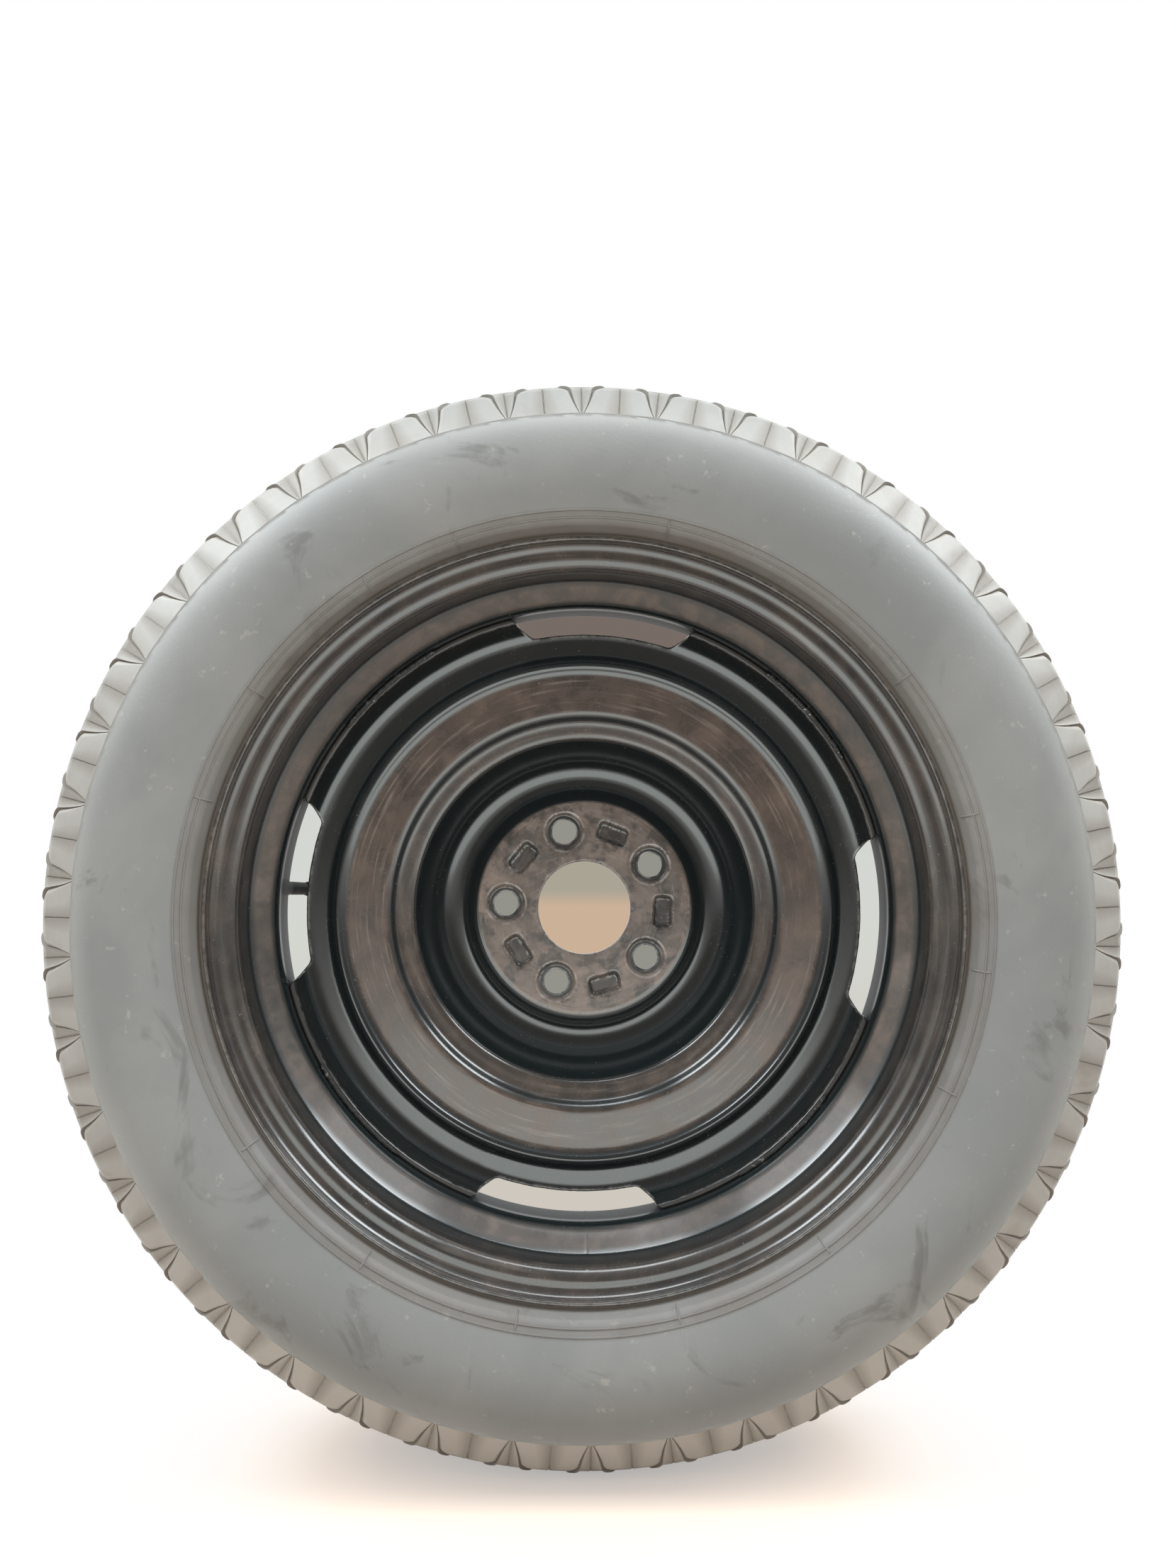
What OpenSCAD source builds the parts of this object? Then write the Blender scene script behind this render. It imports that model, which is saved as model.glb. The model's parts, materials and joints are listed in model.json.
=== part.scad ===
// Temporary-use spare wheel: a pressed and rolled steel wheel, its tubeless tyre and its snap-in valve.
// Every round piece is drawn about Z with the inboard side up, and laid over at the end, so that the
// wheel's axis is Y, the inboard side faces -Y and the origin is the wheel's centre.
// Radii are measured from the axis. Heights are measured from the rim's middle plane, positive inboard.
// Angles run from +X towards +Z. All sizes are in millimetres and degrees.

/* [Tyre] */
// Overall diameter of the tyre
tyre_d = 736.2; // [720:0.1:760]
// Section width of the tyre
tyre_w = 155; // [150:0.5:165]
// Height of the widest line above the bead seat
widest_up = 59.5; // [52:0.5:66]
// Thickness of the sidewall
sidewall_t = 6.5; // [4:0.1:9]
// Thickness of the crown, tread and casing together
crown_t = 13; // [10:0.1:16]
// Width of each bead on its seat
bead_w = 15; // [12:0.1:17]
// Width of the tread from shoulder to shoulder
tread_w = 98; // [90:1:106]
// How far the shoulders lie below the crown, as a share of its height above the widest line
shoulder_share = 0.187; // [0.14:0.001:0.22]
// How far the line between tread and sidewall lies below the crown, as a share of the same height
tread_line_share = 0.4975; // [0.44:0.0005:0.56]
// How far the tread rubber stands proud of the sidewall
tread_step = 0.9; // [0.4:0.1:1.6]
// Height of the first fine rib on the sidewall above the flange
rib_up_1 = 10; // [8:0.5:11]
// Height of the second fine rib on the sidewall above the flange
rib_up_2 = 14.5; // [13:0.5:18]
// Width of a fine rib
rib_w = 1.4; // [0.8:0.1:2]
// Width of a groove round the crown
crown_groove_w = 5; // [3:0.1:7]
// Depth of a groove round the crown
crown_groove_d = 5; // [3:0.1:6]
// Distance between the grooves round the crown
crown_groove_pitch = 21; // [16:0.5:25]

/* [Tread pattern] */
// Number of pitches round the tyre
pitches = 42; // [36:1:48]
// Angle of the first fan of grooves
pitch_start = 4.8; // [0:0.1:8]
// Distance between the tips of a pair of leaf grooves
leaf_spread = 23; // [20:0.5:28]
// Distance between the roots of a pair of leaf grooves
leaf_root_gap = 5.6; // [4:0.1:8]
// Width of a leaf groove at its tip
leaf_tip_w = 6.4; // [3:0.1:8]
// Width of a leaf groove at its root
leaf_root_w = 1; // [0.8:0.1:2]
// Depth of a leaf groove at its root
leaf_root_d = 0.8; // [0.4:0.1:1.2]
// Depth of a leaf groove at the shoulder
leaf_d = 2.8; // [1.5:0.1:4]
// How far a leaf groove runs past the shoulder
leaf_overrun = 12; // [8:0.5:16]
// Width of a straight sipe
sipe_w = 0.8; // [0.5:0.1:1.2]
// Depth of a straight sipe
sipe_d = 1.2; // [0.6:0.1:2]
// How far a sipe runs past the shoulder
sipe_overrun = 5; // [4:0.5:8]
// Distance from the line between tread and sidewall to the grooves' roots
groove_start = 1.2; // [0.8:0.1:3]

/* [Rim] */
// Width between the flanges
rim_w = 101.6; // [95:0.1:108]
// Diameter of the bead seats at the flanges
bead_seat_d = 462; // [455:0.1:470]
// Taper of the bead seats
seat_taper = 5; // [3:0.5:7]
// Height of the flanges above the bead seats
flange_up = 17.3; // [14:0.1:19]
// Radius that the flange curls to
flange_curl = 9.5; // [7:0.1:10.5]
// How far the flange's lip reaches beyond its wall
lip_reach = 11; // [10:0.1:13]
// Radius between a bead seat and its flange
heel_r = 6.5; // [4:0.1:7]
// Thickness of the rim
rim_t = 2.6; // [2:0.1:3.2]
// Depth of the drop well below the bead seats
well_deep = 17.2; // [14:0.1:19]
// Width of the inboard bead seat
inboard_seat_w = 22.8; // [20:0.1:25]
// Width of the outboard bead seat
outboard_seat_w = 18.8; // [17.5:0.1:21]
// Axial length of the slope between the inboard seat and the well
inboard_slope = 15.5; // [12:0.1:18]
// Axial length of the slope between the outboard seat and the well, which holds the valve
outboard_slope = 13.4; // [12:0.1:17]
// Radius of the bends between seats, slopes and well
well_bend_r = 6; // [4:0.1:8]

/* [Disc] */
// Thickness of the disc
disc_t = 4; // [3:0.1:5]
// How far the disc's mounting face lies outboard of the middle plane
offset_et = 32; // [28:0.5:36]
// Diameter of the raised hub pad
pad_d = 156; // [148:1:164]
// Depth of the annular groove round the pad, below the pad's face
groove_deep = 18; // [12:0.5:20]
// Diameter of the groove's inner bottom edge
groove_in_d = 174; // [168:1:180]
// Diameter of the groove's outer bottom edge
groove_out_d = 210; // [204:1:218]
// Diameter of the ledge's inner edge
ledge_in_d = 243; // [236:1:250]
// Diameter of the ledge's outer edge
ledge_out_d = 265; // [260:1:268]
// How far the ledge lies outboard of the middle plane
ledge_set = 12.5; // [9:0.5:16]
// Diameter of the plateau's inner edge
plateau_in_d = 277; // [272:1:284]
// How far the plateau lies outboard of the middle plane
plateau_set = 4; // [2:0.5:7]
// Radial width of the slope from the plateau down to the channel
channel_fall_w = 11; // [8:0.5:14]
// Radial width of the channel up to the flange
channel_w = 25.3; // [22:0.1:30]
// How far the channel's floor lies outboard of the middle plane
channel_set = 19; // [15:0.5:23]
// Radius of the bend between the channel and the flange
flange_bend_r = 14; // [9:0.5:16]
// How far the flange's edge lies inboard of the middle plane
flange_edge = 5; // [2:0.5:7]
// Bevel on the flange's outer edge
flange_bevel = 1.2; // [0.6:0.1:1.8]

/* [Hub pad] */
// Diameter of the centre bore
centre_bore_d = 67.1; // [60:0.1:72]
// Rounding of the centre bore's inboard edge
bore_round = 1.4; // [0.6:0.1:2]
// Number of wheel bolts
bolt_count = 5; // [4:1:6]
// Diameter of the bolt circle
bolt_circle_d = 114.3; // [108:0.1:118]
// Angle of the first bolt hole
bolt_start = 33; // [0:1:71]
// Diameter of a bolt hole
bolt_hole_d = 17.4; // [15:0.1:18.5]
// Diameter of the recess round a bolt hole at the mounting face
recess_d = 29; // [27:0.5:31]
// Diameter of the recess at its floor
recess_floor_d = 24; // [22:0.5:26]
// Depth of a recess
recess_deep = 3; // [2:0.1:3.4]
// Width of the nut seat's cone at the outboard face
nut_seat_d = 21; // [19.5:0.1:22]
// Angle of the nut seat's cone
nut_seat_angle = 60; // [50:5:90]
// Length of a pocket between two bolt holes
pocket_l = 22; // [18:0.5:24]
// Width of a pocket
pocket_w = 14; // [11:0.5:16]
// Depth of a pocket
pocket_deep = 3; // [2:0.1:3.4]
// Width of a pocket's sloping sides
pocket_side = 2.6; // [1:0.1:3]

/* [Vents and welds] */
// Angle of the first vent's middle
vent_start = -3.65; // [-10:0.05:10]
// Angle that a vent takes up at the flange
vent_open = 36.2; // [30:0.2:40]
// Angle that a vent takes up at its inner edge
vent_inner = 29; // [24:0.2:32]
// Distance from the flange's inner face to the vent's inner edge
vent_deep = 8.6; // [6:0.2:14]
// Rounding of a vent's inner corners
vent_round = 6; // [3:0.5:8]
// Angle that a weld seam takes up
weld_arc = 23; // [15:0.5:30]
// Size of a weld seam's leg on the rim
weld_leg = 4.5; // [3:0.1:6]

/* [Valve] */
// Angle of the valve
valve_at = 176.2; // [170:0.1:182]
// Diameter of the valve hole in the rim
valve_hole_d = 11.3; // [10.5:0.1:12]
// Diameter of the rubber body's foot inside the tyre
foot_d = 18.4; // [16:0.1:19]
// Height of the foot
foot_h = 6.5; // [5:0.1:8]
// Diameter of the rubber body's collar outside the rim
collar_d = 14.2; // [13:0.1:15]
// Height of the collar with its taper
collar_h = 6.5; // [5:0.1:8]
// Diameter of the rubber body's neck
neck_d = 9.6; // [9:0.1:10.4]
// Height of the rubber body above the rim
body_h = 21; // [18:0.5:24]
// Outer diameter of the brass stem where it is moulded in
stem_d = 6.2; // [5.6:0.1:6.8]
// Diameter of the stem's thread
thread_d = 7.7; // [7.4:0.1:8]
// Length of the threaded end that stands out of the rubber
thread_l = 9.5; // [8:0.1:11]
// Bore of the stem below the core
air_bore_d = 3.4; // [2.8:0.1:3.6]
// Bore of the stem that takes the core
core_bore_d = 5.2; // [5:0.1:5.4]
// Length of the core's body
core_l = 11; // [9:0.5:13]
// How far the core's body stops short of the stem's end
core_sink = 1; // [0.5:0.1:2]
// Thickness of the core's gasket
gasket_t = 1.6; // [1.2:0.1:2]
// Bore through the core's body
core_hole_d = 2.9; // [2.6:0.1:3]
// Diameter of the pin
pin_d = 1.2; // [1:0.05:1.3]
// Travel of the pin
pin_travel = 1.5; // [1:0.1:2]
// Diameter of the cup that closes the core
cup_d = 2.7; // [2.4:0.1:3]
// Height of the cup
cup_h = 1.6; // [1.2:0.1:2]
// Diameter of the spring's wire
wire_d = 0.25; // [0.2:0.01:0.35]
// Number of turns of the spring
turns = 6; // [5:1:8]
// Outer diameter of the cap
cap_d = 10; // [9.6:0.1:11]
// Length of the cap
cap_l = 11.5; // [10.5:0.1:13]
// Thickness of the cap's end wall
cap_end_t = 1.4; // [1:0.1:1.8]
// Thickness of the seal inside the cap
cap_seal_t = 0.8; // [0.6:0.1:1.2]
// Number of grip ribs on the cap
cap_ribs = 12; // [8:1:18]

/* [Fits] */
// Clearance between pieces that seat on each other
seat_gap = 0.1; // [0.05:0.01:0.2]
// Clearance round the pin, its collar and the cap's thread
slide_gap = 0.15; // [0.1:0.01:0.25]

/* [Hidden] */
$fn = 64;
eps = 0.01;
arc_step = 12;
cut_over = 1;

rubber = [0.20, 0.21, 0.21];
black_paint = [0.13, 0.13, 0.13];
weld_grey = [0.30, 0.29, 0.27];
brass = [0.72, 0.58, 0.28];

// One land and one weld seam lie between each two vents
vents = 4;

crown_r = tyre_d / 2;
seat_r = bead_seat_d / 2;
lip_r = seat_r + flange_up;
half_rim = rim_w / 2;
lip_h = half_rim + lip_reach;
well_r = seat_r - well_deep;
well_in_r = well_r - rim_t;
bore_r = centre_bore_d / 2;

// Plane geometry used by the turned and pressed profiles

function unit(v) = v / norm(v);
function left_of(v) = [-v[1], v[0]];
function turned(v, a) = [v[0] * cos(a) - v[1] * sin(a), v[0] * sin(a) + v[1] * cos(a)];
function bend(a, b) = atan2(a[0] * b[1] - a[1] * b[0], a * b);
function reversed(list) = [for (i = [len(list) - 1 : -1 : 0]) list[i]];
function mirrored(list) = [for (p = list) [p[0], -p[1]]];
function xy(p) = [p[0], p[1]];

// One rounded corner: the points of an arc of radius r that touches both legs at p1
function corner(p0, p1, p2, r) =
    let (
        d1 = unit(p1 - p0),
        d2 = unit(p2 - p1),
        a = bend(d1, d2),
        side = sign(a),
        start = p1 - r * tan(abs(a) / 2) * d1,
        centre = start + side * r * left_of(d1),
        n = max(1, ceil(abs(a) / arc_step))
    )
    r < 0.05 || abs(a) < 0.5
        ? [p1]
        : [for (k = [0 : n]) centre + turned(start - centre, a * k / n)];

// A path of [x, y, radius] vertices with every corner rounded to its radius
function rounded(path) =
    let (last = len(path) - 1)
    [
        xy(path[0]),
        for (i = [1 : last - 1]) each corner(xy(path[i - 1]), xy(path[i]), xy(path[i + 1]), path[i][2]),
        xy(path[last])
    ];

// The same path moved sideways by t, to its left, with its radii corrected for the move
function moved(path, t) =
    let (last = len(path) - 1)
    [
        for (i = [0 : last])
            let (
                before = unit(xy(path[max(i, 1)]) - xy(path[max(i, 1) - 1])),
                after = unit(xy(path[min(i + 1, last)]) - xy(path[min(i + 1, last) - 1])),
                out = (left_of(before) + left_of(after)) / (1 + before * after),
                p = xy(path[i]) + t * out,
                r = max(0, path[i][2] - sign(bend(before, after)) * t)
            )
            [p[0], p[1], r]
    ];

// A sheet of even thickness along a path, on the path's left for a positive t
module sheet(path, t) {
    polygon(concat(rounded(path), reversed(rounded(moved(path, t)))));
}

module turn_profile(angle = 360) {
    rotate_extrude(angle = angle, $fn = 96) children();
}

// Lays the wheel over: the inboard side goes from +Z to -Y
module laid() {
    rotate([90, 0, 0]) children();
}

// Tyre

widest_r = seat_r + widest_up;
rise_above = crown_r - widest_r;
fall_below = widest_up + flange_up + sidewall_t / 10;
line_r = crown_r - rise_above * tread_line_share;
shoulder_drop = rise_above * shoulder_share;
line_h = tyre_w / 2 * sqrt(1 - pow((line_r - widest_r) / rise_above, 2));
shoulder = [crown_r - shoulder_drop, tread_w / 2];
crown_arc_r = (pow(tread_w / 2, 2) + pow(shoulder_drop, 2)) / (2 * shoulder_drop);
crown_half_angle = asin(tread_w / 2 / crown_arc_r);
rest_r = lip_r + seat_gap;
rest_h = half_rim + flange_curl + seat_gap;
knee_a = 26;
bulge_step = 5;
rib_h = 0.7;
lip_tuck = [3, 5.5];
lip_tuck_r = 4;
toe_in = 1.5;

function seat_at(h) = seat_r - (half_rim - abs(h)) * tan(seat_taper);

// The sidewall is an ellipse whose widest point lies on the widest line
function bulge(a, inset = 0) =
    let (reach = a > 0 ? rise_above : fall_below)
    [widest_r + (reach - inset) * sin(a), (tyre_w / 2 - inset) * cos(a)];

line_a = bulge_angle(line_r);
ribs_a = [bulge_angle(lip_r + rib_up_1), bulge_angle(lip_r + rib_up_2)];
low_steps = ceil(-ribs_a[1] / bulge_step);
high_steps = ceil(line_a / bulge_step);

// A fine rib stands on the sidewall at angle a
function rib(a) =
    let (along = unit(bulge(a + 1) - bulge(a - 1)), out = left_of(along))
    [
        bulge(a) - along * rib_w * 0.6,
        bulge(a) - along * rib_w * 0.3 + out * rib_h,
        bulge(a) + along * rib_w * 0.3 + out * rib_h,
        bulge(a) + along * rib_w * 0.6
    ];

// The crown is an arc about a centre on the middle plane
function crown(a) = [crown_r - crown_arc_r * (1 - cos(a)), crown_arc_r * sin(a)];

crown_steps = 8;

tyre_foot = rounded([
    [seat_at(half_rim - bead_w) + seat_gap, half_rim - bead_w, 0],
    [seat_r + seat_gap, half_rim - seat_gap, heel_r],
    [rest_r, half_rim - seat_gap, flange_curl],
    [rest_r, rest_h, 0],
    [rest_r + lip_tuck[0], rest_h + lip_tuck[1], lip_tuck_r],
    concat(bulge(-knee_a), 0)
]);

tyre_outer = concat(
    tyre_foot,
    rib(ribs_a[0]),
    rib(ribs_a[1]),
    [for (k = [1 : low_steps]) bulge(ribs_a[1] * (1 - k / low_steps))],
    [for (k = [1 : high_steps]) bulge(line_a * k / high_steps)],
    [[line_r + tread_step, line_h + tread_step * line_h / tyre_w]],
    [for (k = [0 : crown_steps]) crown(crown_half_angle * (1 - k / crown_steps))]
);

inner_steps = 9;

tyre_inner = concat(
    [[seat_r + flange_up * 0.75, half_rim - bead_w + toe_in]],
    [for (k = [0 : inner_steps]) bulge(-knee_a + (90 + knee_a) * k / inner_steps, inset_at(k / inner_steps))]
);

// The wall grows from the sidewall's thickness to the crown's
function inset_at(s) = sidewall_t + (crown_t - sidewall_t) * pow(max(0, s * 1.6 - 0.6), 1.5);

function bulge_angle(r) = asin((r - widest_r) / (r > widest_r ? rise_above : fall_below));

module tyre_section() {
    difference() {
        polygon(concat(
            tyre_outer,
            reversed(mirrored([for (k = [0 : len(tyre_outer) - 2]) tyre_outer[k]])),
            mirrored(tyre_inner),
            reversed([for (k = [0 : len(tyre_inner) - 2]) tyre_inner[k]])
        ));
        for (side = [-1, 0, 1])
            translate([
                crown_r - crown_arc_r + sqrt(pow(crown_arc_r, 2) - pow(crown_groove_pitch * side, 2))
                    - crown_groove_d,
                side * crown_groove_pitch - crown_groove_w / 2
            ])
                square([crown_groove_d * 3, crown_groove_w]);
    }
}

// A leaf groove bends outwards from its root by the tread line to its tip past the shoulder
shoulder_run = norm(shoulder - [line_r, line_h]);
shoulder_lean = atan2(line_h - shoulder[1], shoulder[0] - line_r);
leaf_l = shoulder_run + leaf_overrun;
leaf_dip = atan((leaf_d - leaf_root_d) / shoulder_run);
leaf_steps = 4;

function leaf_mid(s) = [
    leaf_root_gap / 2 + (leaf_spread - leaf_root_gap) / 2 * pow(s, 1.6),
    groove_start + (leaf_l - groove_start) * s
];
function leaf_half(s) = (leaf_root_w + (leaf_tip_w - leaf_root_w) * s) / 2;

leaf_outline = concat(
    [for (k = [0 : leaf_steps]) leaf_mid(k / leaf_steps) + [leaf_half(k / leaf_steps), 0]],
    [for (k = [leaf_steps : -1 : 0]) leaf_mid(k / leaf_steps) - [leaf_half(k / leaf_steps), 0]]
);

module leaf_cutter() {
    translate([0, 0, -leaf_root_d])
        rotate([-leaf_dip, 0, 0])
            linear_extrude(shoulder_run)
                polygon(leaf_outline);
}

module sipe_cutter() {
    translate([-sipe_w / 2, groove_start, -sipe_d])
        cube([sipe_w, shoulder_run + sipe_overrun - groove_start, shoulder_run]);
}

// X runs round the tyre, Y outwards along the shoulder's slope and Z out of the rubber
module on_shoulder() {
    translate([line_r, 0, line_h])
        rotate([0, shoulder_lean, 0])
            rotate([0, 0, -90])
                children();
}

// Each pitch has a fan of two leaf grooves with a sipe in its middle, and a sipe up to the next fan
module shoulder_grooves() {
    for (k = [0 : pitches - 1], side = [0, 1])
        rotate([0, 0, pitch_start + k * 360 / pitches])
            mirror([0, 0, side]) {
                for (hand = [0, 1]) mirror([0, hand, 0]) on_shoulder() leaf_cutter();
                for (turn = [0, 180 / pitches]) rotate([0, 0, turn]) on_shoulder() sipe_cutter();
            }
}

module tyre() {
    color(rubber)
        laid()
            difference() {
                turn_profile() tyre_section();
                shoulder_grooves();
            }
}

// Rim: one path along the tyre side, from the inboard lip to the outboard lip

seat_in_end = half_rim - inboard_seat_w;
seat_out_end = half_rim - outboard_seat_w;
well_from = seat_in_end - inboard_slope;
well_to = -(seat_out_end - outboard_slope);

rim_path = [
    [lip_r, lip_h, 0],
    [lip_r, half_rim, flange_curl],
    [seat_r, half_rim, heel_r],
    [seat_at(seat_in_end), seat_in_end, well_bend_r],
    [well_r, well_from, well_bend_r + rim_t],
    [well_r, well_to, well_bend_r + rim_t],
    [seat_at(seat_out_end), -seat_out_end, well_bend_r],
    [seat_r, -half_rim, heel_r],
    [lip_r, -half_rim, flange_curl],
    [lip_r, -lip_h, 0]
];

// The valve stands square on the slope between the well and the outboard seat
slope_from = moved(rim_path, -rim_t)[5];
slope_to = moved(rim_path, -rim_t)[6];
slope_mid = (xy(slope_from) + xy(slope_to)) / 2;
slope_dir = unit(xy(slope_to) - xy(slope_from));
valve_dir = [slope_dir[1], -slope_dir[0]];
valve_tilt = atan2(valve_dir[0], valve_dir[1]);

module at_valve() {
    laid()
        rotate([0, 0, valve_at])
            translate([slope_mid[0], 0, slope_mid[1]])
                rotate([0, valve_tilt, 0])
                    children();
}

module rim() {
    color(black_paint)
        difference() {
            laid() turn_profile() sheet(rim_path, -rim_t);
            at_valve() translate([0, 0, -rim_t * 2]) cylinder(h = rim_t * 3, d = valve_hole_d);
        }
}

// Disc: one path along the inboard face, from the centre bore out to the flange's edge

pad_h = -offset_et;
groove_h = pad_h - groove_deep;
flange_out_r = well_in_r - seat_gap;
flange_in_r = flange_out_r - disc_t;
channel_r = flange_in_r - channel_w;
plateau_out_r = channel_r - channel_fall_w;
ledge_rise = 1;
plateau_rise = 0.5;

disc_path = [
    [bore_r, pad_h, 0],
    [pad_d / 2, pad_h, 4],
    [groove_in_d / 2, groove_h, 8],
    [groove_out_d / 2, groove_h, 12],
    [ledge_in_d / 2, -ledge_set, 5],
    [ledge_out_d / 2, -ledge_set + ledge_rise, 3],
    [plateau_in_d / 2, -plateau_set - plateau_rise, 4],
    [plateau_out_r, -plateau_set, 8],
    [channel_r, -channel_set, 6],
    [flange_in_r, -channel_set, flange_bend_r],
    [flange_in_r, flange_edge, 0]
];

bolt_r = bolt_circle_d / 2;
boss_base_d = recess_d + disc_t;
boss_top_d = nut_seat_d + disc_t;
nut_seat_h = (nut_seat_d - bolt_hole_d) / 2 / tan(nut_seat_angle / 2);

module round_bolts(turn = 0) {
    for (k = [0 : bolt_count - 1])
        rotate([0, 0, bolt_start + turn + k * 360 / bolt_count])
            translate([bolt_r, 0, pad_h])
                children();
}

// The hollow cone round a bolt hole, with its floor towards the outboard side
module bolt_recess() {
    translate([0, 0, -recess_deep]) cylinder(h = recess_deep, d1 = recess_floor_d, d2 = recess_d);
    translate([0, 0, -eps]) cylinder(h = disc_t, d = recess_d);
    translate([0, 0, -disc_t * 3]) cylinder(h = disc_t * 4, d = bolt_hole_d);
    translate([0, 0, -disc_t - recess_deep - eps])
        cylinder(h = nut_seat_h, d1 = nut_seat_d, d2 = bolt_hole_d);
}

module bolt_boss() {
    translate([0, 0, -disc_t - recess_deep])
        cylinder(h = recess_deep + eps, d1 = boss_top_d, d2 = boss_base_d);
}

// A block with sloping sides and rounded corners: length and width at its mouth, narrower below
module sloping_block(l, w, deep, side, round_r) {
    intersection() {
        rotate([90, 0, 0])
            translate([0, 0, -w])
                linear_extrude(w * 2)
                    polygon([[-l / 2, eps], [l / 2, eps], [l / 2 - side, -deep], [side - l / 2, -deep]]);
        rotate([90, 0, 90])
            translate([0, 0, -l])
                linear_extrude(l * 2)
                    polygon([[-w / 2, eps], [w / 2, eps], [w / 2 - side, -deep], [side - w / 2, -deep]]);
        translate([0, 0, -deep * 2])
            linear_extrude(deep * 3)
                polygon(rounded([
                    [0, -w / 2, 0], [l / 2, -w / 2, round_r], [l / 2, w / 2, round_r],
                    [-l / 2, w / 2, round_r], [-l / 2, -w / 2, round_r], [-eps, -w / 2, 0]
                ]));
    }
}

module pocket_hollow() {
    rotate([0, 0, 90]) sloping_block(pocket_l, pocket_w, pocket_deep, pocket_side, pocket_side);
}

module pocket_bump() {
    translate([0, 0, -disc_t + eps])
        rotate([0, 0, 90])
            sloping_block(
                pocket_l + disc_t, pocket_w + disc_t, pocket_deep,
                pocket_side, pocket_side + disc_t / 2
            );
}

// Plan of one vent: a trapezium that opens outwards, with its inner side on an arc
vent_r = flange_in_r - vent_deep;
vent_far_r = well_in_r + disc_t;

function at_angle(r, a) = [r * cos(a), r * sin(a)];

vent_arc_steps = 6;
vent_widen = (vent_open - vent_inner) / 2 * (vent_far_r - vent_r) / (well_in_r - vent_r);
vent_plan = rounded([
    concat(at_angle(vent_far_r / cos(vent_open / 2), 0), 0),
    concat(at_angle(vent_far_r, -vent_inner / 2 - vent_widen), 0),
    concat(at_angle(vent_r, -vent_inner / 2), vent_round),
    for (k = [1 : vent_arc_steps - 1])
        concat(at_angle(vent_r, vent_inner * (k / vent_arc_steps - 0.5)), 0),
    concat(at_angle(vent_r, vent_inner / 2), vent_round),
    concat(at_angle(vent_far_r, vent_inner / 2 + vent_widen), 0)
]);

module vent_cutters() {
    for (k = [0 : vents - 1])
        rotate([0, 0, vent_start + k * 360 / vents])
            translate([0, 0, -channel_set * 3])
                linear_extrude(channel_set * 6)
                    polygon(vent_plan);
}

// Bevels the flange's outer edge, where the weld seam is laid
module flange_bevel_cutter() {
    turn_profile()
        polygon([
            [flange_out_r - flange_bevel, flange_edge + eps],
            [flange_out_r + cut_over, flange_edge + eps],
            [flange_out_r + cut_over, flange_edge - flange_bevel - cut_over]
        ]);
}

// Rounds the mounting face's edge at the centre bore
module bore_round_cutter() {
    turn_profile()
        difference() {
            translate([bore_r - cut_over, pad_h - bore_round])
                square([cut_over + bore_round, bore_round + cut_over]);
            translate([bore_r + bore_round, pad_h - bore_round]) circle(r = bore_round);
        }
}

module wheel_disc() {
    color(black_paint)
        laid()
            difference() {
                union() {
                    turn_profile() sheet(disc_path, -disc_t);
                    round_bolts() bolt_boss();
                    round_bolts(180 / bolt_count) pocket_bump();
                }
                round_bolts() bolt_recess();
                round_bolts(180 / bolt_count) pocket_hollow();
                vent_cutters();
                flange_bevel_cutter();
                bore_round_cutter();
            }
}

// One weld seam lies in the corner between the flange's edge and the rim's well
weld_foot = disc_t - seat_gap * 2;
weld_crest = [0.7, 0.62];
weld_crest_r = 1.6;

module weld_bead(i) {
    bead = [
        [well_in_r - seat_gap / 2, flange_edge + seat_gap / 2, 0],
        [well_in_r - seat_gap / 2, flange_edge + weld_leg, 0],
        [well_in_r - weld_foot * weld_crest[0], flange_edge + weld_leg * weld_crest[1], weld_crest_r],
        [well_in_r - weld_foot, flange_edge + seat_gap / 2, 0]
    ];
    color(weld_grey)
        laid()
            rotate([0, 0, vent_start + (i + 0.5) * 360 / vents - weld_arc / 2])
                turn_profile(weld_arc) polygon(rounded(bead));
}

// Valve: its axis is Z, zero is the rim's visible face, and the cap is at the top

stem_top = body_h + thread_l;
core_top = stem_top - core_sink;
core_foot = core_top - core_l;
gasket_foot = core_foot + (core_l - gasket_t) / 2;
core_floor_t = 1.6;
core_shoulder = core_foot + core_floor_t;
core_clear = 0.6;
core_waist = 0.35;
foot_relief = 1.5;
foot_taper = 2;
collar_edge_h = 1.4;
neck_taper = 0.3;
thread_bevel = 0.6;
cup_floor_t = 0.4;

module valve_body() {
    hole_r = valve_hole_d / 2 - seat_gap;
    in_face = -rim_t - seat_gap;
    profile = rounded([
        [stem_d / 2, in_face - foot_h, 0],
        [foot_d / 2 - foot_taper, in_face - foot_h, 1],
        [foot_d / 2, in_face - foot_relief, 1],
        [hole_r, in_face, 0],
        [hole_r, seat_gap, 0],
        [collar_d / 2, seat_gap, 0.3],
        [collar_d / 2, collar_edge_h, 1],
        [neck_d / 2, collar_h, 4],
        [neck_d / 2 - neck_taper, body_h, 0.8],
        [stem_d / 2, body_h, 0]
    ]);
    color(rubber)
        at_valve()
            turn_profile() polygon(profile);
}

module valve_stem() {
    bottom = -rim_t - foot_h;
    core_seat = core_foot - core_clear;
    profile = [
        [air_bore_d / 2, bottom],
        [stem_d / 2, bottom],
        [stem_d / 2, body_h + seat_gap / 2],
        [thread_d / 2, body_h + seat_gap / 2],
        [thread_d / 2, stem_top - thread_bevel],
        [thread_d / 2 - thread_bevel, stem_top],
        [core_bore_d / 2, stem_top],
        [core_bore_d / 2, core_seat],
        [air_bore_d / 2, core_seat - (core_bore_d - air_bore_d) / 2]
    ];
    color(brass) at_valve() turn_profile() polygon(profile);
}

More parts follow.
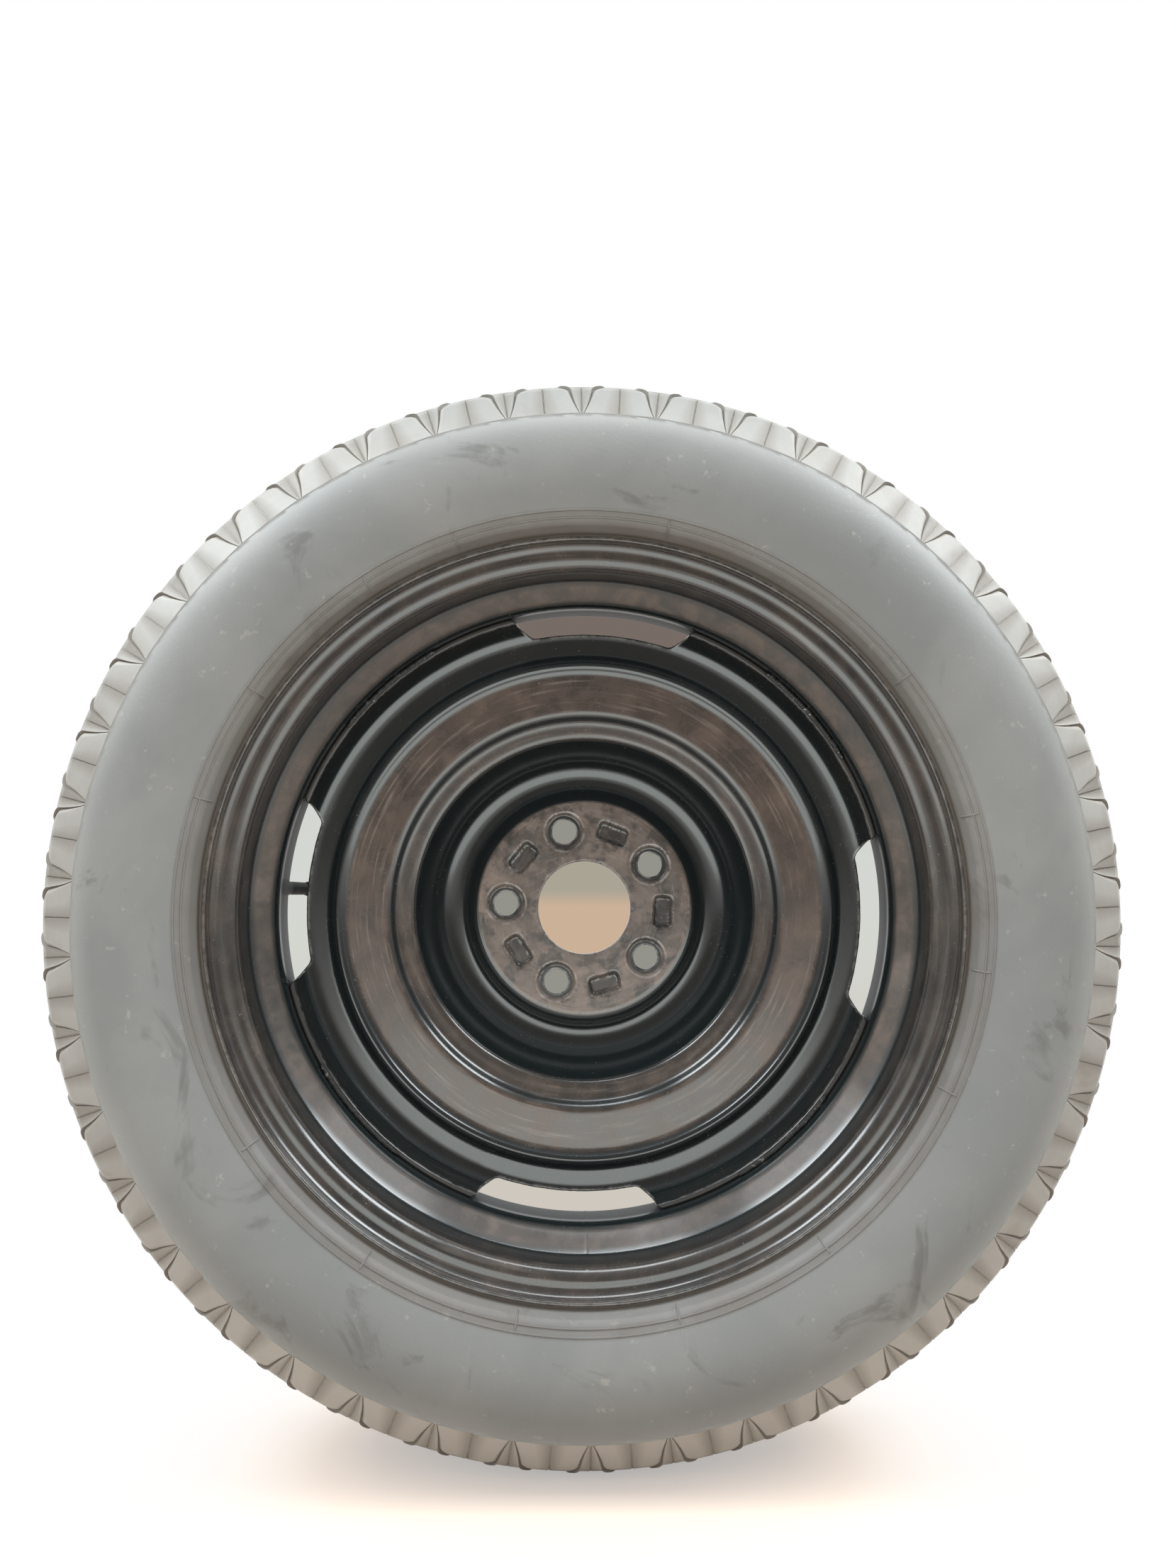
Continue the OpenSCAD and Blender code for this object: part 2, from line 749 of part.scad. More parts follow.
module valve_core_body() {
    outer = core_bore_d / 2 - seat_gap / 2;
    waist = outer - core_waist;
    inner = core_hole_d / 2;
    guide = pin_d / 2 + slide_gap;
    profile = [
        [guide, core_foot],
        [waist, core_foot],
        [waist, gasket_foot],
        [waist, gasket_foot + gasket_t],
        [outer, gasket_foot + gasket_t],
        [outer, core_top],
        [inner, core_top],
        [inner, core_shoulder],
        [guide, core_shoulder]
    ];
    color(brass) at_valve() turn_profile() polygon(profile);
}

module valve_core_gasket() {
    outer = core_bore_d / 2 - seat_gap / 4;
    inner = core_bore_d / 2 - seat_gap / 2 - core_waist + seat_gap / 4;
    color(rubber)
        at_valve()
            translate([0, 0, gasket_foot])
                difference() {
                    cylinder(h = gasket_t - seat_gap / 2, r = outer);
                    translate([0, 0, -cut_over]) cylinder(h = gasket_t + cut_over * 2, r = inner);
                }
}

// The pin's collar sits under its head and is what the spring lifts
pin_collar_h = 0.8;
pin_sink = 0.3;
pin_head_h = 0.9;
pin_top = core_top - pin_sink;
collar_top = pin_top - pin_head_h;

module valve_pin() {
    foot = core_foot - seat_gap - cup_h;
    color(brass)
        at_valve()
            union() {
                translate([0, 0, foot + cup_floor_t]) cylinder(h = pin_top - foot - cup_floor_t, d = pin_d);
                translate([0, 0, collar_top - pin_collar_h])
                    cylinder(h = pin_collar_h, r = core_hole_d / 2 - slide_gap);
            }
}

module valve_cup() {
    color(rubber)
        at_valve()
            translate([0, 0, core_foot - seat_gap - cup_h])
                difference() {
                    cylinder(h = cup_h, d = cup_d);
                    translate([0, 0, cup_floor_t - seat_gap / 4]) cylinder(h = cup_h, d = pin_d + seat_gap / 2);
                }
}

// A round wire swept along a helix, as one closed tube
spring_r = (core_hole_d / 2 - slide_gap + pin_d / 2) / 2;
spring_foot = core_shoulder + wire_d / 2 + seat_gap;
spring_head = collar_top - pin_collar_h - wire_d / 2 - seat_gap;
ring_sides = 6;
rings_a_turn = 12;

function helix(s) = [
    spring_r * cos(360 * turns * s),
    spring_r * sin(360 * turns * s),
    spring_foot + (spring_head - spring_foot) * s
];
function around(s, b) =
    helix(s) + wire_d / 2 * (
        cos(b) * [cos(360 * turns * s), sin(360 * turns * s), 0] + sin(b) * [0, 0, 1]
    );

module valve_spring() {
    rings = turns * rings_a_turn;
    points = [
        for (i = [0 : rings], j = [0 : ring_sides - 1]) around(i / rings, j * 360 / ring_sides)
    ];
    walls = [
        for (i = [0 : rings - 1], j = [0 : ring_sides - 1])
            let (next = (j + 1) % ring_sides, a = i * ring_sides, b = a + ring_sides)
            each [[a + j, a + next, b + next], [a + j, b + next, b + j]]
    ];
    ends = [
        [for (j = [ring_sides - 1 : -1 : 0]) j],
        [for (j = [0 : ring_sides - 1]) rings * ring_sides + j]
    ];
    color("silver") at_valve() polyhedron(points, concat(walls, ends));
}

cap_foot = stem_top + seat_gap + cap_seal_t + seat_gap + cap_end_t - cap_l;
cap_inner_r = thread_d / 2 + slide_gap;
cap_draft = 0.4;
grip_r = 0.45;
grip_from = 1;
grip_l = cap_l - 3 * grip_from;

module valve_cap() {
    color(rubber)
        at_valve()
            difference() {
                union() {
                    turn_profile()
                        polygon(rounded([
                            [0, cap_foot, 0],
                            [cap_d / 2, cap_foot, cap_draft],
                            [cap_d / 2 - cap_draft, cap_foot + cap_l, 1.2],
                            [0, cap_foot + cap_l, 0]
                        ]));
                    for (k = [0 : cap_ribs - 1])
                        rotate([0, 0, k * 360 / cap_ribs])
                            translate([cap_d / 2 - grip_r, 0, cap_foot + grip_from])
                                cylinder(h = grip_l, r = grip_r, $fn = 16);
                }
                translate([0, 0, cap_foot - cut_over])
                    cylinder(h = cap_l - cap_end_t + cut_over, r = cap_inner_r);
            }
}

module valve_cap_seal() {
    color("dimgray")
        at_valve()
            translate([0, 0, stem_top + seat_gap])
                cylinder(h = cap_seal_t, r = cap_inner_r - seat_gap);
}

tyre();
rim();
wheel_disc();
weld_bead(0);  // weld_bead_1
weld_bead(1);  // weld_bead_2
weld_bead(2);  // weld_bead_3
weld_bead(3);  // weld_bead_4
valve_body();
valve_stem();
valve_core_body();
valve_core_gasket();
valve_pin();
valve_cup();
valve_spring();
valve_cap();
valve_cap_seal();
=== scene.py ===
"""Looks of an upright compact spare wheel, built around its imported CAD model.

The wheel's own measures are in millimetres: a radius r from the axis, a height h from the rim's
middle plane (positive on the inboard side, which faces the camera) and an angle from +X towards +Z.
Everything that goes into a mesh is in metres in the row frame, where x = r cos(angle), y = -h and
z = r sin(angle).
"""

import json
import logging
import math
from dataclasses import dataclass, field
from enum import Enum
from typing import Any, Optional, Sequence, Union

import bpy
import numpy as np
from mathutils import Matrix

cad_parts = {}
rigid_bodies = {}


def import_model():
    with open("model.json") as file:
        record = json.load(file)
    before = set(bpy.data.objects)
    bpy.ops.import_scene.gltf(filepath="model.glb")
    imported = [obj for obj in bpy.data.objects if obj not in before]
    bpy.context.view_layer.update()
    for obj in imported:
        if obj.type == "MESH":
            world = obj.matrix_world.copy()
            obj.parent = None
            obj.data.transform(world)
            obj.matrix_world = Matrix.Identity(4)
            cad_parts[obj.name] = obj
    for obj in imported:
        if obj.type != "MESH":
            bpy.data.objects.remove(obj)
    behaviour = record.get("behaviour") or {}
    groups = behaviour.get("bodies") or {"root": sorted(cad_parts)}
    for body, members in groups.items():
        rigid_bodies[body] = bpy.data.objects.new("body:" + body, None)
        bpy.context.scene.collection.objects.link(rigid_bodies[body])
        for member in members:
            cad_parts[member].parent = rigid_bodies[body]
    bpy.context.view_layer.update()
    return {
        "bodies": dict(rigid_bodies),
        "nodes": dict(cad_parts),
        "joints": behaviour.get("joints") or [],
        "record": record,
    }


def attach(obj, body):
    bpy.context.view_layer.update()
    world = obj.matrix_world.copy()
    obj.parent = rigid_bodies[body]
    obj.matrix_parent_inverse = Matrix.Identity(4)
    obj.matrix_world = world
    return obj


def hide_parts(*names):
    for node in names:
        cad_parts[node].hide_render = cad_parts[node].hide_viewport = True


LOG = logging.getLogger("spare_wheel")
MM = 0.001
Array = np.ndarray
Vertex = tuple[float, float, float]
Colour = tuple[float, float, float]
Marks = dict[str, np.ndarray]
WHITE: Colour = (1.0, 1.0, 1.0)
# Edges that turn by more than these degrees stay sharp: on steel, on rubber and welds, on the valve.
CREASE = 38.0
SOFT_CREASE = 60.0
VALVE_CREASE = 50.0


class Slot(Enum):
    """The record's material slots."""

    TYRE = "tyre_rubber"
    PAINT = "black_paint"
    WELD = "painted_weld"
    VALVE = "valve_rubber"
    BRASS = "valve_brass"
    SEAL = "seal_rubber"
    SPRING = "spring_steel"
    CAP = "cap_plastic"


class Face(Enum):
    """The two faces of the pressed disc; the value is the side that the face looks to."""

    INBOARD = -1
    OUTBOARD = 1


# Plane geometry of profiles


def unit(v: Array) -> Array:
    """A vector made one long."""
    return v / np.linalg.norm(v)


def smooth(x: Array, low: float, high: float) -> Array:
    """The smooth step 3t^2 - 2t^3 of x between low (0) and high (1)."""
    t = np.clip((x - low) / (high - low), 0.0, 1.0)
    return t * t * (3.0 - 2.0 * t)


def corner(before: Vertex, here: Vertex, after: Vertex, step: float) -> Array:
    """One rounded corner of a path.

    The arc of the vertex's radius touches both legs, so it starts radius * tan(turn / 2) before
    the vertex and turns about a centre that lies one radius to the side.

    Args:
        before: The vertex before it, as x, y, radius.
        here: The vertex itself.
        after: The vertex after it.
        step: The largest turn between two points, in degrees.

    Returns:
        The points of the corner, one or more rows of x, y.
    """
    p0, p1, p2 = (np.array(p[:2], float) for p in (before, here, after))
    d1, d2 = unit(p1 - p0), unit(p2 - p1)
    turn = math.atan2(d1[0] * d2[1] - d1[1] * d2[0], float(d1 @ d2))
    if here[2] < 0.02 or abs(turn) < math.radians(0.4):
        return p1[None]
    start = p1 - here[2] * math.tan(abs(turn) / 2) * d1
    centre = start + math.copysign(here[2], turn) * np.array([-d1[1], d1[0]])
    a = np.linspace(0.0, turn, max(2, math.ceil(abs(turn) / math.radians(step))) + 1)
    v = start - centre
    return centre + np.stack([v[0] * np.cos(a) - v[1] * np.sin(a), v[0] * np.sin(a) + v[1] * np.cos(a)], 1)


def rounded(path: Sequence[Vertex], step: float = 7.5, closed: bool = False) -> Array:
    """Rounds the corners of a path of x, y, radius vertices.

    Args:
        path: The vertices.
        step: The largest turn between two points, in degrees.
        closed: Whether the last vertex joins the first.

    Returns:
        The points of the rounded path.
    """
    n = len(path)
    inner = range(n) if closed else range(1, n - 1)
    parts = [corner(path[i - 1], path[i], path[(i + 1) % n], step) for i in inner]
    if closed:
        return np.vstack(parts)
    return np.vstack([np.array(path[0][:2])[None], *parts, np.array(path[-1][:2])[None]])


def moved(path: Sequence[Vertex], t: float) -> list[Vertex]:
    """Moves a path sideways and corrects its radii for the move.

    Each vertex moves along the sum of its legs' left normals, scaled so that both legs move by t.

    Args:
        path: The vertices, as x, y, radius.
        t: The distance, to the path's left when positive.

    Returns:
        The moved vertices.
    """
    pts = np.array([p[:2] for p in path], float)
    legs = np.diff(pts, axis=0)
    legs /= np.linalg.norm(legs, axis=1)[:, None]
    before, after = np.vstack([legs[:1], legs]), np.vstack([legs, legs[-1:]])
    left = np.stack([-(before + after)[:, 1], (before + after)[:, 0]], 1)
    out = pts + t * left / (1 + (before * after).sum(1))[:, None]
    turn = np.sign(before[:, 0] * after[:, 1] - before[:, 1] * after[:, 0])
    radius = np.maximum(0.0, np.array([p[2] for p in path]) - turn * t)
    return [(float(x), float(y), float(r)) for (x, y), r in zip(out, radius)]


def densified(points: Array, longest: float) -> Array:
    """Adds evenly spaced points to every long leg of a path.

    Args:
        points: The path's points, as rows of x, y.
        longest: The longest leg that is left as it is.

    Returns:
        The points of the finer path.
    """
    legs = np.diff(points, axis=0)
    size = np.linalg.norm(legs, axis=1)
    keep = size > 1e-6
    starts, legs, size = points[:-1][keep], legs[keep], size[keep]
    n = np.maximum(1, np.ceil(size / longest).astype(int))
    k = np.arange(n.sum()) - np.repeat(np.cumsum(n) - n, n)
    inner = np.repeat(starts, n, axis=0) + np.repeat(legs / n[:, None], n, axis=0) * k[:, None]
    return np.vstack([inner, points[-1:]])


def sheet_loop(path: Sequence[Vertex], t: float, nose: float, longest: float) -> tuple[Array, int]:
    """The closed outline of a bent sheet whose two ends are rounded.

    Args:
        path: The vertices of one face.
        t: The sheet's thickness, to the path's left when positive.
        nose: The radius that the sheet's ends are rounded to.
        longest: The longest leg of the outline.

    Returns:
        The points of the outline, and how many of them lie on the first face.
    """
    first = [(*p[:2], nose if i in (0, len(path) - 1) else p[2]) for i, p in enumerate(path)]
    far = moved(path, t)
    second = [(*p[:2], nose if i in (0, len(far) - 1) else p[2]) for i, p in enumerate(far)][::-1]
    loop = rounded(first + second, closed=True)
    loop = densified(np.vstack([loop, loop[:1]]), longest)[:-1]
    turn = int(np.argmin(np.linalg.norm(loop - np.array(far[-1][:2]), axis=1)))
    return loop, turn


@dataclass(frozen=True)
class Track:
    """A path that can be read at any distance along it."""

    points: Array

    @property
    def at(self) -> Array:
        """The distance of each point from the start."""
        return np.concatenate([[0.0], np.cumsum(np.linalg.norm(np.diff(self.points, axis=0), axis=1))])

    @property
    def length(self) -> float:
        """The length of the whole path."""
        return float(self.at[-1])

    def point(self, v: Array) -> tuple[Array, Array]:
        """The x and y at distances v."""
        return np.interp(v, self.at, self.points[:, 0]), np.interp(v, self.at, self.points[:, 1])

    def right(self, v: Array, reach: float = 0.35) -> tuple[Array, Array]:
        """The x and y of the unit normal to the path's right at distances v.

        It is the chord from reach before to reach after, turned by a quarter to the right.

        Args:
            v: Distances along the path.
            reach: Half the length of path that the chord spans.

        Returns:
            The normals' x and their y.
        """
        low, high = np.clip(v - reach, 0, self.length), np.clip(v + reach, 0, self.length)
        x0, y0 = self.point(low)
        x1, y1 = self.point(high)
        size = np.maximum(np.hypot(x1 - x0, y1 - y0), 1e-9)
        return (y1 - y0) / size, -(x1 - x0) / size

    def where_x(self, x: float) -> float:
        """The first distance at which the path reaches x."""
        v = np.linspace(0.0, self.length, 4000)
        return float(v[int(np.argmax(self.point(v)[0] >= x))])


# Meshes


def placed(r: Array, a: Array, h: Array) -> Array:
    """Turns radius, angle in radians and height, in millimetres, into points of the row frame."""
    r, a, h = np.broadcast_arrays(r, a, h)
    return np.stack([r * np.cos(a), -h, r * np.sin(a)], -1) * MM


def grid_faces(rows: int, cols: int, wrap_rows: bool, wrap_cols: bool) -> Array:
    """The quads of a grid of points whose index is row * cols + column.

    Args:
        rows: Number of rows.
        cols: Number of columns.
        wrap_rows: Whether the last row joins the first.
        wrap_cols: Whether the last column joins the first.

    Returns:
        The quads, one to a row.
    """
    i = np.arange(rows if wrap_rows else rows - 1)
    j = np.arange(cols if wrap_cols else cols - 1)
    i, j = np.meshgrid(i, j, indexing="ij")
    i2, j2 = (i + 1) % rows, (j + 1) % cols
    return np.stack([i * cols + j, i2 * cols + j, i2 * cols + j2, i * cols + j2], -1).reshape(-1, 4)


@dataclass
class Shell:
    """Points, faces and marks of one mesh on its way to Blender.

    Attributes:
        points: The points, in metres.
        faces: Arrays of vertex numbers, one array for each number of corners.
        marks: Values from 0 to 1 for each point, which the materials read as attributes.
    """

    points: Array
    faces: list[Array]
    marks: Marks = field(default_factory=dict)

    @classmethod
    def of_grid(cls, grid: Array, wrap: tuple[bool, bool], marks: Optional[Marks] = None) -> "Shell":
        """A shell from a grid of points.

        Args:
            grid: Rows x columns x 3 coordinates.
            wrap: Whether the last row joins the first, and the last column the first.
            marks: Values for the points, in any shape that spreads over the grid.

        Returns:
            The shell.
        """
        rows, cols = grid.shape[:2]
        given = {k: np.broadcast_to(v, (rows, cols)).reshape(-1) for k, v in (marks or {}).items()}
        return cls(grid.reshape(-1, 3), [grid_faces(rows, cols, *wrap)], given)

    def joined(self, *others: "Shell") -> "Shell":
        """Joins shells without merging any points.

        Args:
            *others: The shells that follow this one.

        Returns:
            One shell. A mark that one of them lacks is zero there.
        """
        parts = [self, *others]
        shift = np.cumsum([0] + [len(p.points) for p in parts])
        names = sorted({k for p in parts for k in p.marks})
        marks = {k: np.concatenate([p.marks.get(k, np.zeros(len(p.points))) for p in parts]) for k in names}
        faces = [f + s for p, s in zip(parts, shift) for f in p.faces]
        return Shell(np.vstack([p.points for p in parts]), faces, marks)

    def volume(self) -> float:
        """The signed volume.

        Returns:
            A sixth of the sum, over the triangles a, b, c of the faces' fans, of a . (b x c).
        """
        total = 0.0
        for f in self.faces:
            a = self.points[f[:, 0]]
            for k in range(1, f.shape[1] - 1):
                b, c = self.points[f[:, k]], self.points[f[:, k + 1]]
                total += float(np.einsum("ij,ij->", a, np.cross(b, c)))
        return total / 6

    def flipped(self) -> "Shell":
        """The same shell with its faces turned over."""
        return Shell(self.points, [f[:, ::-1] for f in self.faces], self.marks)

    def outward(self) -> "Shell":
        """The same closed shell with its faces pointing outwards."""
        return self if self.volume() > 0 else self.flipped()

    def capped(self, rows: int, cols: int) -> "Shell":
        """Closes a tube of rows x cols points with one face at each end, and points its faces outwards."""
        caps = np.stack([np.arange(cols), (rows - 1) * cols + np.arange(cols)[::-1]])
        return Shell(self.points, [*self.faces, caps], self.marks).outward()

    def into(self, name: str, sharp: float = CREASE) -> bpy.types.Object:
        """Makes the Blender object.

        Args:
            name: Name of the object and its mesh.
            sharp: Edges that turn by more than these degrees stay sharp, all others are smooth.

        Returns:
            The object, at the origin and linked to the scene.
        """
        mesh = bpy.data.meshes.new(name)
        corners = np.concatenate([f.reshape(-1) for f in self.faces]).astype(np.int32)
        totals = np.concatenate([np.full(len(f), f.shape[1]) for f in self.faces])
        mesh.vertices.add(len(self.points))
        mesh.vertices.foreach_set("co", self.points.astype(np.float32).ravel())
        mesh.loops.add(len(corners))
        mesh.loops.foreach_set("vertex_index", corners)
        mesh.polygons.add(len(totals))
        mesh.polygons.foreach_set("loop_start", (np.cumsum(totals) - totals).astype(np.int32))
        for key, values in self.marks.items():
            mark = mesh.attributes.new(key, "FLOAT", "POINT")
            mark.data.foreach_set("value", np.clip(values, 0, 1).astype(np.float32))
        mesh.update(calc_edges=True)
        mesh.validate()
        mesh.shade_smooth()
        mesh.set_sharp_from_angle(angle=math.radians(sharp))
        obj = bpy.data.objects.new(name, mesh)
        bpy.context.scene.collection.objects.link(obj)
        LOG.info("%s: %d points, %d triangles", name, len(self.points), int((totals - 2).sum()))
        return obj


# Shader maths

Value = Union["Wire", float, int]


class Wire:
    """A shader output that takes part in Python expressions; each operator adds its node."""

    def __init__(self, board: "Board", socket: bpy.types.NodeSocket) -> None:
        """Keeps the board that it lies on, and the socket."""
        self.board = board
        self.socket = socket

    def _math(self, operation: str, *values: Value) -> "Wire":
        """Adds one Math node."""
        return self.board.node("ShaderNodeMath", {"operation": operation}, dict(enumerate(values)))

    def __add__(self, other: Value) -> "Wire":
        """Sum."""
        return self._math("ADD", self, other)

    def __radd__(self, other: Value) -> "Wire":
        """Sum, from the right."""
        return self._math("ADD", other, self)

    def __sub__(self, other: Value) -> "Wire":
        """Difference."""
        return self._math("SUBTRACT", self, other)

    def __rsub__(self, other: Value) -> "Wire":
        """Difference, from the right."""
        return self._math("SUBTRACT", other, self)

    def __mul__(self, other: Value) -> "Wire":
        """Product."""
        return self._math("MULTIPLY", self, other)

    def __rmul__(self, other: Value) -> "Wire":
        """Product, from the right."""
        return self._math("MULTIPLY", other, self)

    def __truediv__(self, other: Value) -> "Wire":
        """Quotient."""
        return self._math("DIVIDE", self, other)

    def __rtruediv__(self, other: Value) -> "Wire":
        """Quotient, from the right."""
        return self._math("DIVIDE", other, self)

    def __pow__(self, other: Value) -> "Wire":
        """Power."""
        return self._math("POWER", self, other)

    def __rpow__(self, other: Value) -> "Wire":
        """Power, from the right."""
        return self._math("POWER", other, self)

    def most(self, other: Value) -> "Wire":
        """The larger of the two."""
        return self._math("MAXIMUM", self, other)

    def step(self, low: float, high: float, to: tuple[float, float] = (0.0, 1.0)) -> "Wire":
        """A smooth step from low to high, with its two ends mapped to the given values."""
        given = {"Value": self, "From Min": low, "From Max": high, "To Min": to[0], "To Max": to[1]}
        return self.board.node("ShaderNodeMapRange", {"interpolation_type": "SMOOTHSTEP"}, given)

    def other(self, output: Union[str, int]) -> "Wire":
        """Another output of the same node."""
        return Wire(self.board, self.socket.node.outputs[output])


class Board:
    """One node tree, of a material or of the world."""

    def __init__(self, name: str, world: Optional[bpy.types.World] = None) -> None:
        """Starts an empty tree.

        Args:
            name: Name of the new material.
            world: The world whose tree is wanted instead.
        """
        self.owner = world or bpy.data.materials.new(name)
        self.owner.use_nodes = True
        self.tree = self.owner.node_tree
        self.tree.nodes.clear()
        kind = "ShaderNodeOutputWorld" if world else "ShaderNodeOutputMaterial"
        self.output = self.tree.nodes.new(kind)

    def node(self, kind: str, settings: Optional[dict[str, Any]] = None,
             inputs: Optional[dict[Any, Any]] = None, output: Union[str, int] = 0) -> Wire:
        """Adds a node.

        Args:
            kind: The node's type.
            settings: Its own settings, which are set before its sockets.
            inputs: Values or wires for its input sockets, by name or number.
            output: The output that is wanted.

        Returns:
            The output as a wire.
        """
        made = self.tree.nodes.new(kind)
        for key, value in (settings or {}).items():
            setattr(made, key, value)
        for key, value in (inputs or {}).items():
            target = made.inputs[key]
            if isinstance(value, Wire):
                self.tree.links.new(value.socket, target)
            else:
                target.default_value = (*value, 1.0) if target.type == "RGBA" and len(value) == 3 else value
        return Wire(self, made.outputs[output])

    def place(self) -> Wire:
        """Object coordinates, in metres."""
        return self.node("ShaderNodeTexCoord", output="Object")

    def axes(self) -> tuple[Wire, Wire, Wire]:
        """The x, y and z of the object coordinates."""
        split = self.node("ShaderNodeSeparateXYZ", None, {0: self.place()})
        return split, split.other(1), split.other(2)

    def mark(self, name: str) -> Wire:
        """One of the mesh's marks."""
        return self.node("ShaderNodeAttribute", {"attribute_name": name}, output="Fac")

    def noise(self, scale: float, detail: float = 3.0, rough: float = 0.5, warp: float = 0.0,
              at: Optional[Wire] = None) -> Wire:
        """Smooth noise.

        Args:
            scale: About how many spots there are in a metre.
            detail: How many finer layers are added.
            rough: How much each finer layer counts.
            warp: How far the spots are bent.
            at: Coordinates, or object coordinates if none are given.

        Returns:
            The noise, from 0 to 1.
        """
        given = {"Vector": at or self.place(), "Scale": scale, "Detail": detail, "Roughness": rough,
                 "Distortion": warp}
        return self.node("ShaderNodeTexNoise", None, given, "Fac")

    def cells(self, scale: float) -> Wire:
        """The distance to the nearest of scattered points, about scale of them along a metre."""
        given = {"Vector": self.place(), "Scale": scale}
        return self.node("ShaderNodeTexVoronoi", {"feature": "F1"}, given, "Distance")

    def stretched(self, size: Vertex, turn: Vertex) -> Wire:
        """Object coordinates scaled and turned."""
        return self.node("ShaderNodeMapping", None, {"Vector": self.place(), "Scale": size, "Rotation": turn})

    def ringwise(self, around: float, across: float) -> Wire:
        """Coordinates for streaks that run round the axis.

        Args:
            around: Scale along the streaks, small where they are long.
            across: Scale across them.

        Returns:
            The direction from the axis, scaled by around, with radius plus y, scaled by across.
        """
        x, y, z = self.axes()
        r = (x * x + z * z) ** 0.5
        given = {0: x / r * around, 1: (r + y) * across, 2: z / r * around}
        return self.node("ShaderNodeCombineXYZ", None, given)

    def mix(self, share: Value, a: Any, b: Any) -> Wire:
        """A colour between a (share 0) and b (share 1)."""
        return self.node("ShaderNodeMix", {"data_type": "RGBA"}, {"Factor": share, 6: a, 7: b}, 2)

    def bump(self, height: Wire, distance: float, strength: float) -> Wire:
        """A normal bent by a height from 0 to 1 that stands for the given distance in metres."""
        given = {"Height": height, "Distance": distance, "Strength": strength}
        return self.node("ShaderNodeBump", None, given)

    def shown(self, shader: Wire) -> Any:
        """Links a shader to the output and gives back the material or world."""
        self.tree.links.new(shader.socket, self.output.inputs["Surface"])
        return self.owner

    def glowing(self, share: Wire, under: Wire, colour: Any) -> bpy.types.Material:
        """Finishes the material with a plain glow over another shader.

        Args:
            share: How much of the glow is seen.
            under: The other shader.
            colour: The glow's colour, which shows as it is written.

        Returns:
            The finished material.
        """
        glow = self.node("ShaderNodeEmission", None, {"Color": colour, "Strength": 1.0})
        return self.shown(self.node("ShaderNodeMixShader", None, {0: share, 1: under, 2: glow}))

    def finish(self, **sockets: Any) -> bpy.types.Material:
        """Finishes the material with the Principled shader.

        Args:
            **sockets: Values or wires by socket name, with underscores for spaces.

        Returns:
            The finished material.
        """
        given = {key.replace("_", " "): value for key, value in sockets.items()}
        return self.shown(self.node("ShaderNodeBsdfPrincipled", None, given))


# Finishes


